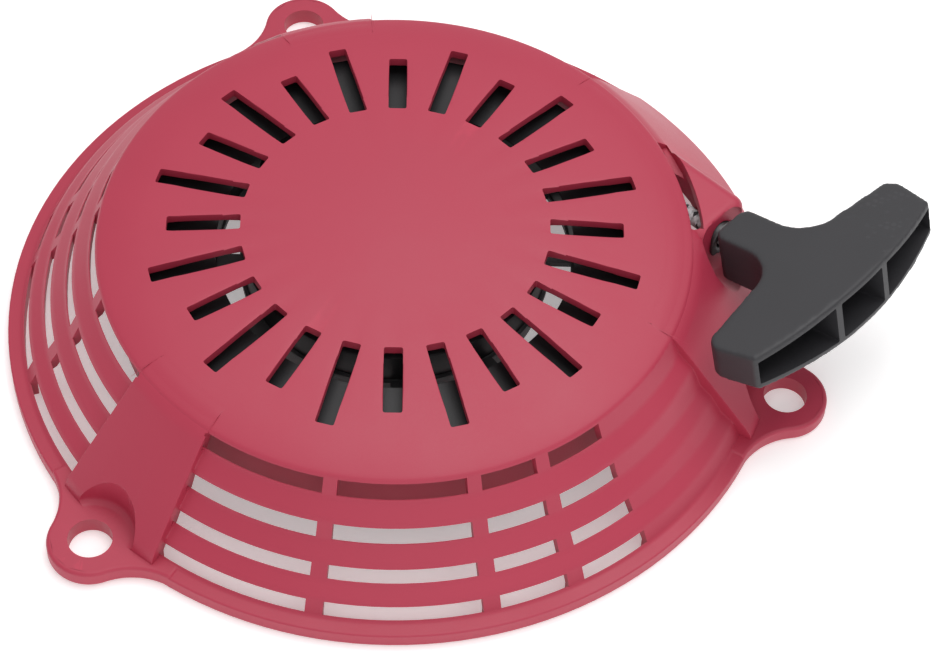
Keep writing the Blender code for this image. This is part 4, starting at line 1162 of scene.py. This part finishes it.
def build_springs():
    inner = reel_bore + REEL_HUB_WALL + 2 * SPRING_SIDE_GAP
    outer = cup_inner_r - SPRING_SIDE_GAP
    low, high = floor_top + SPRING_SIDE_GAP, CUP_TOP_Z - SPRING_SIDE_GAP
    count = SPRING_TURNS * SPRING_TURN_POINTS
    spiral = []
    for i in range(count + 1):
        r, a = inner + (outer - inner) * i / count, 2 * pi * i / SPRING_TURN_POINTS
        spiral.append((r * cos(a), r * sin(a), (low + high) / 2))
    steel = finish_named("finish_steel")
    values = {"Thickness": SPRING_T, "Height": high - low, "Material": steel}
    strip = outward(grown(path_object("spring_strip", spiral), strip_tree(), values))
    settle(shade(strip), "steel", "reel", ["recoil_spring"])
    boss_r = PIN_R + TOUCH_GAP + RATCHET_BOSS
    coil_r = PIN_R + TOUCH_GAP + RATCHET_SPRING_R
    turns = int(RATCHET_SPRING_TURNS * 28)
    for letter, angle in zip("ab", RATCHET_ANGLES_DEG):
        points = [(boss_r + 1.5 * MM, coil_r, ratchet_spring_foot)]
        for i in range(turns + 1):
            a = pi / 2 - 2 * pi * i / 28
            z = ratchet_spring_foot + ratchet_spring_rise * RATCHET_SPRING_TURNS * i / turns
            points.append((coil_r * cos(a), coil_r * sin(a), z))
        points.append((-boss_r - 1.0 * MM, -coil_r, ratchet_spring_z))
        points = [pivot_frame(angle) @ Vector(point) for point in points]
        settle(wire(f"pawl_spring_{letter}", points, RATCHET_SPRING_R, steel), "steel", "reel",
               [f"ratchet_spring_{letter}"])


# ---------------------------------------------------------------- ratchets and their guide
def build_ratchets():
    boss_r = PIN_R + TOUCH_GAP + RATCHET_BOSS
    slope = degrees((boss_r - RATCHET_TIP_R) / RATCHET_REACH)
    for letter, angle in zip("ab", RATCHET_ANGLES_DEG):
        lie = pivot_frame(angle)
        outline = arc(0.0, 0.0, boss_r, slope, 180.0 - slope, 28)
        outline += arc(0.0, -RATCHET_REACH, RATCHET_TIP_R, 180.0 + slope, 360.0 - slope, 16)
        pawl = prism(f"pawl_{letter}", outline, ratchet_base, ratchet_top, lie)
        foot = lie @ Matrix.Translation((0.0, -PEG_AT, 0.0))
        peg = cylinder("peg", PEG_R, guide_base + TOUCH_GAP, ratchet_base + RATCHET_T / 2, 28, foot)
        combine(pawl, peg, "UNION")
        combine(pawl, cylinder("bore", PIN_R + TOUCH_GAP, 0.0, CUP_TOP_Z, 40, lie), "DIFFERENCE")
        round_edges(clean(pawl), settings().metal.edge_round)
        settle(shade(pawl), "steel", f"ratchet_{letter}", [f"ratchet_{letter}"])


def peg_path(steps):
    """Where a ratchet's peg stands in the turning guide, from rest to full swing."""
    path = []
    for i in range(steps + 1):
        share = i / steps
        arm = radians(-90.0 + RATCHET_SWING_DEG * share)
        place = Vector((PIVOT_R + PEG_AT * cos(arm), PEG_AT * sin(arm)))
        place.rotate(Matrix.Rotation(-radians(GUIDE_SWING_DEG * share), 2))
        path.append(place)
    return path


def build_guide():
    guide = ring("pawl_guide", collar_r + RUN_GAP, GUIDE_DISC_R, guide_base, guide_top, REEL_STEPS)
    clear = PEG_R + RUN_GAP
    path = peg_path(10)
    first, last = path[1] - path[0], path[-1] - path[-2]
    head, tail = degrees(atan2(last.y, last.x)), degrees(atan2(first.y, first.x))
    left, right = [], []
    for i, here in enumerate(path):
        way = (path[min(i + 1, len(path) - 1)] - path[max(i - 1, 0)]).normalized()
        across = Vector((-way.y, way.x)) * clear
        left.append(tuple(here + across))
        right.append(tuple(here - across))
    outline = right[:-1] + arc(*path[-1], clear, head - 90.0, head + 90.0, 10) + left[-2::-1][:-1]
    outline += arc(*path[0], clear, tail + 90.0, tail + 270.0, 10)[:-1]
    slot = prism("cam_slot", outline, guide_base - OVERCUT, guide_top + OVERCUT)
    combine(guide, grown(slot, ring_tree(), {"Count": len(RATCHET_ANGLES_DEG)}), "DIFFERENCE")
    round_edges(clean(guide), settings().reel.edge_round)
    settle(shade(guide), "reel_plastic", "guide", ["ratchet_guide"])


# ---------------------------------------------------------------- rope
def knot_mesh(name, radius, lie, finish):
    """A simple overhand knot pulled tight: a fat trefoil of rope round a core."""
    thick = radius * 0.46
    reach = radius - thick
    points = []
    for i in range(96):
        t = 2 * pi * i / 96
        x = reach * (sin(t) + 2 * sin(2 * t)) / 3
        y = reach * (cos(t) - 2 * cos(2 * t)) / 3
        points.append(lie @ Vector((-reach * 0.75 * sin(3 * t), x, y)))
    made = wire(name, points, thick, finish, sides=14, cyclic=True)
    bm = bmesh.new()
    bm.from_mesh(made.data)
    bmesh.ops.create_icosphere(bm, subdivisions=3, radius=reach * 0.75, matrix=lie)
    bm.to_mesh(made.data)
    bm.free()
    made.data.shade_smooth()
    return made


def build_rope():
    wound = finish_named("finish_rope_wound")
    inner = DRUM_R + TOUCH_GAP + ROPE_R
    start_a = radians(window_middle_deg(REEL_KNOT_WINDOW))
    end_a = radians(ROPE_DIR_DEG + 90.0)
    sweep = 2 * pi * ROPE_TURNS - 0.6
    count = 90 * ROPE_TURNS
    coil = []
    for i in range(count + 1):
        share = i / count
        a = end_a - 0.3 - sweep * (1 - share)
        r = inner + (rope_outer_r - ROPE_R - inner) * share
        coil.append((r * cos(a), r * sin(a), ROPE_Z))
    settle(wire("rope_turns", coil, ROPE_R - 0.02 * MM, wound, ROPE_SIDES), "rope", "reel", ["rope_winding"])

    clear_r = rope_outer_r + TOUCH_GAP
    start = (clear_r ** 2 - (rope_offset - ROPE_R) ** 2) ** 0.5 + TOUCH_GAP
    stop = handle_nose + STEM_LENGTH - KNOT_DEPTH + KNOT_WASHER_T
    run = pull_start.translation.x - start
    straight = [rope_frame @ Vector((start + run * i / 40, 0.0, ROPE_Z)) for i in range(40)]
    straight += [pull_frame @ Vector((stop * i / 120, 0.0, 0.0)) for i in range(121)]
    drawn = wire("rope_drawn", straight, ROPE_R, finish_named("finish_rope_straight"), ROPE_SIDES)
    dress(drawn, "rope", "finish_rope_straight")
    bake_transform(drawn)
    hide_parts("rope_run")

    lie = pull_frame @ Matrix.Translation((stop + TOUCH_GAP + KNOT_R, 0.0, 0.0))
    settle(knot_mesh("handle_knot", KNOT_R, lie, wound), "rope", "handle", ["rope_knot_handle"])
    middle = (window_inner_r + window_outer_r) / 2
    lie = Matrix.Rotation(start_a, 4, "Z") @ Matrix.Translation((middle, 0.0, ROPE_Z))
    settle(knot_mesh("reel_knot", REEL_KNOT_R, lie, wound), "rope", "reel", ["rope_knot_reel"])
    knot_at = handle_nose + STEM_LENGTH - KNOT_DEPTH
    lie = pull_frame @ Matrix.Translation((knot_at + TOUCH_GAP / 2, 0.0, 0.0)) @ Matrix.Rotation(pi / 2, 4, "Y")
    plate = ring("knot_plate", ROPE_R + TOUCH_GAP, KNOT_WASHER_R, 0.0, KNOT_WASHER_T - TOUCH_GAP, matrix=lie)
    settle(shade(round_edges(plate, 0.1 * MM)), "steel", "handle", ["knot_washer"])


# ---------------------------------------------------------------- handle
def handle_plan():
    """The handle from above: a stem with hollow fillets into a bar with a bulging front."""
    near, far = STEM_LENGTH, STEM_LENGTH + BAR_DEPTH
    half = arc(NOSE_ROUND, STEM_HALF_WIDTH - NOSE_ROUND, NOSE_ROUND, 180.0, 90.0, 8)
    half += arc(near - NECK_FILLET, STEM_HALF_WIDTH + NECK_FILLET, NECK_FILLET, -90.0, -12.0, 20)
    half += arc(near + BAR_SHOULDER + BAR_END_R, BAR_HALF_LENGTH - BAR_END_R, BAR_END_R, 165.0, 90.0, 10)
    sweep = 20
    for i in range(sweep + 1):
        y = (BAR_HALF_LENGTH - BAR_CORNER) * (1 - i / sweep)
        half.append((far + BAR_BULGE * (1 - (y / BAR_HALF_LENGTH) ** 2), y))
    return half + [(x, -y) for x, y in half[-2::-1]]


def build_handle():
    length = STEM_LENGTH + BAR_DEPTH + BAR_BULGE
    tall, low = HANDLE_HEIGHT / 2, BAR_END_HEIGHT / 2
    grip = prism("handle_moulding", handle_plan(), -tall, tall, handle_frame)
    slope = (tall - low) / (BAR_HALF_LENGTH + OVERCUT - NECK_FILLET)
    past = BAR_HALF_LENGTH + 6 * OVERCUT
    past_z = tall - slope * (past - NECK_FILLET)
    front = [(-past, past_z), (-NECK_FILLET, tall + WELD), (NECK_FILLET, tall + WELD), (past, past_z)]
    front = rounded(front, 8.0 * MM, 6)
    front += [(y, -z) for y, z in front[::-1]]
    across = handle_frame @ Matrix.Rotation(pi / 2, 4, "Z") @ Matrix.Rotation(pi / 2, 4, "X")
    combine(grip, prism("handle_front", front, -OVERCUT, length + OVERCUT, across), "INTERSECT")
    soften(grip, HANDLE_GRAIN, settings().handle.easing)

    bm = bmesh.new()
    wide, narrow = MIDDLE_POCKET_HALF, MIDDLE_POCKET_HALF * MIDDLE_POCKET_TAPER
    inner, outer = STEM_LENGTH - KNOT_DEPTH, length + OVERCUT
    middle = [(inner, -narrow), (outer, -wide), (outer, wide), (inner, narrow)]
    add_prism(bm, middle, -tall + HANDLE_WALL, tall - HANDLE_WALL, handle_frame)
    floor = STEM_LENGTH + BAR_SHOULDER + HANDLE_WALL
    start = MIDDLE_POCKET_HALF + POCKET_RIB
    end = BAR_HALF_LENGTH - HANDLE_WALL - POCKET_EXTRA_WALL
    near_z = tall - HANDLE_WALL - slope * max(start - NECK_FILLET, 0.0)
    far_z = tall - HANDLE_WALL - slope * (end - NECK_FILLET)
    for side in (-1, 1):
        corners = [(x, side * y, sign * z) for x in (floor, outer) for sign in (-1, 1)
                   for y, z in ((start, near_z), (end, far_z))]
        bmesh.ops.convex_hull(bm, input=[bm.verts.new(handle_frame @ Vector(corner)) for corner in corners])
    pockets = round_edges(mesh_object("pockets", bm), POCKET_ROUND, 2, 40.0, clamp=True)
    combine(grip, pockets, "DIFFERENCE")
    along = handle_frame @ Matrix.Rotation(pi / 2, 4, "Y")
    bore = cylinder("bore", ROPE_R + RUN_GAP, -OVERCUT, STEM_LENGTH, 32, along)
    combine(grip, bore, "DIFFERENCE")
    settle(shade(clean(grip, WELD / 4), 50.0), "black_plastic", "handle", ["handle"])


# ---------------------------------------------------------------- stage
CAMERA_AZIMUTH_DEG = -17.37
CAMERA_ELEVATION_DEG = 52.43
CAMERA_ROLL_DEG = 2.74
CAMERA_DISTANCE = 672.0 * MM
CAMERA_TARGET = (9.18 * MM, -36.30 * MM, 37.4 * MM)
CAMERA_LENS_MM = 107.9


def camera_matrix():
    """Where the camera stands: round and above its target, rolled a little."""
    a, e = radians(CAMERA_AZIMUTH_DEG), radians(CAMERA_ELEVATION_DEG)
    back = Vector((sin(a) * cos(e), -cos(a) * cos(e), sin(e)))
    right = Vector((0.0, 0.0, 1.0)).cross(back).normalized()
    turn = Matrix((right, back.cross(right), back)).transposed().to_4x4()
    place = Matrix.Translation(Vector(CAMERA_TARGET) + back * CAMERA_DISTANCE)
    return place @ turn @ Matrix.Rotation(radians(CAMERA_ROLL_DEG), 4, "Z")


def add_light(name, watts, size, place, aim):
    lamp = bpy.data.lights.new(name, "AREA")
    lamp.energy = watts
    lamp.size = size
    made = bpy.data.objects.new(name, lamp)
    made.location = place
    made.rotation_euler = (Vector(place) - Vector(aim)).to_track_quat("Z", "Y").to_euler()
    bpy.context.scene.collection.objects.link(made)
    return made


def build_stage():
    kit = settings().stage
    floor = prism("floor", rounded(box_outline(-2.5, 2.5, -2.5, 2.5), 0.2, 6, closed=True), -0.02, -0.0002)
    floor.data.materials.append(paper("floor_paper", tuple(kit.floor), kit.glow))
    world = bpy.data.worlds.new("surround")
    world.use_nodes = True
    world.node_tree.nodes["Background"].inputs["Color"].default_value = (1.0, 1.0, 1.0, 1.0)
    world.node_tree.nodes["Background"].inputs["Strength"].default_value = kit.fill
    bpy.context.scene.world = world
    add_light("key", kit.key * 0.9, 0.8, (0.2, 0.15, 0.88), (0.0, 0.0, 0.0))
    add_light("front", kit.key * 0.38, 1.2, (0.0, -0.8, 0.6), (0.0, 0.0, 0.0))
    bpy.context.scene.view_settings.view_transform = "Standard"
    camera = bpy.data.objects.new("camera", bpy.data.cameras.new("camera"))
    camera.data.lens = CAMERA_LENS_MM
    camera.data.sensor_width = 36.0
    camera.data.clip_end = 20.0
    camera.matrix_world = camera_matrix()
    bpy.context.scene.collection.objects.link(camera)
    bpy.context.scene.camera = camera


def dress_frame():
    """Gives every node of the frame the finished material of its slot."""
    slots = {part["node"]: part["material_slot"] for part in frame["record"]["subparts"]}
    for name, node in frame["nodes"].items():
        node.data.materials.clear()
        node.data.materials.append(finish_named(FINISH_OF_SLOT[slots[name]]))


# ---------------------------------------------------------------- operators and panel
class STARTER_OT_frame(bpy.types.Operator):
    """Gives the frame's own nodes their finished materials"""

    bl_idname = "starter.frame"
    bl_label = "Dress the frame"

    def execute(self, context):
        dress_frame()
        return {"FINISHED"}


class STARTER_OT_cover(bpy.types.Operator):
    """Builds the moulded cover"""

    bl_idname = "starter.cover"
    bl_label = "Cover"

    def execute(self, context):
        build_cover()
        return {"FINISHED"}


class STARTER_OT_fittings(bpy.types.Operator):
    """Builds the metal pieces fixed in the cover"""

    bl_idname = "starter.fittings"
    bl_label = "Fittings"

    def execute(self, context):
        build_fittings()
        return {"FINISHED"}


class STARTER_OT_reel(bpy.types.Operator):
    """Builds the rope reel"""

    bl_idname = "starter.reel"
    bl_label = "Reel"

    def execute(self, context):
        build_reel()
        return {"FINISHED"}


class STARTER_OT_springs(bpy.types.Operator):
    """Builds the recoil spring and the ratchets' springs"""

    bl_idname = "starter.springs"
    bl_label = "Springs"

    def execute(self, context):
        build_springs()
        return {"FINISHED"}


class STARTER_OT_ratchets(bpy.types.Operator):
    """Builds the two ratchets"""

    bl_idname = "starter.ratchets"
    bl_label = "Ratchets"

    def execute(self, context):
        build_ratchets()
        return {"FINISHED"}


class STARTER_OT_guide(bpy.types.Operator):
    """Builds the disc that guides the ratchets"""

    bl_idname = "starter.guide"
    bl_label = "Ratchet guide"

    def execute(self, context):
        build_guide()
        return {"FINISHED"}


class STARTER_OT_rope(bpy.types.Operator):
    """Builds the rope, its knots and the plate under the handle's knot"""

    bl_idname = "starter.rope"
    bl_label = "Rope"

    def execute(self, context):
        build_rope()
        return {"FINISHED"}


class STARTER_OT_handle(bpy.types.Operator):
    """Builds the T-handle"""

    bl_idname = "starter.handle"
    bl_label = "Handle"

    def execute(self, context):
        build_handle()
        return {"FINISHED"}


class STARTER_OT_stage(bpy.types.Operator):
    """Sets up the floor, the light and the camera"""

    bl_idname = "starter.stage"
    bl_label = "Stage"

    def execute(self, context):
        build_stage()
        return {"FINISHED"}


OPERATORS = (
    STARTER_OT_frame, STARTER_OT_cover, STARTER_OT_fittings, STARTER_OT_reel, STARTER_OT_springs,
    STARTER_OT_ratchets, STARTER_OT_guide, STARTER_OT_rope, STARTER_OT_handle, STARTER_OT_stage,
)


class STARTER_PT_panel(bpy.types.Panel):
    """Sizes, colours and the steps that build the starter"""

    bl_idname = "STARTER_PT_panel"
    bl_label = "Recoil starter"
    bl_space_type = "VIEW_3D"
    bl_region_type = "UI"
    bl_category = "Recoil starter"

    def draw(self, context):
        for name in ("cover", "handle", "rope", "reel", "metal", "stage"):
            group = getattr(context.scene.recoil_starter, name)
            box = self.layout.box()
            box.label(text=name.capitalize())
            for key in group.bl_rna.properties.keys():
                if key not in ("rna_type", "name"):
                    box.prop(group, key)
        for step in OPERATORS:
            self.layout.operator(step.bl_idname)


CLASSES = (
    STARTER_PG_cover, STARTER_PG_handle, STARTER_PG_rope, STARTER_PG_reel, STARTER_PG_metal, STARTER_PG_stage,
    STARTER_PG_settings, *OPERATORS, STARTER_PT_panel,
)


def register():
    for item in CLASSES:
        bpy.utils.register_class(item)
    bpy.types.Scene.recoil_starter = bpy.props.PointerProperty(
        name="Recoil starter", description="Sizes and colours of the starter", type=STARTER_PG_settings,
    )


def unregister():
    del bpy.types.Scene.recoil_starter
    for item in reversed(CLASSES):
        bpy.utils.unregister_class(item)


def main():
    register()
    for step in OPERATORS:
        getattr(bpy.ops.starter, step.bl_idname.split(".")[1])()
    bpy.context.view_layer.update()


if __name__ == "__main__":
    main()
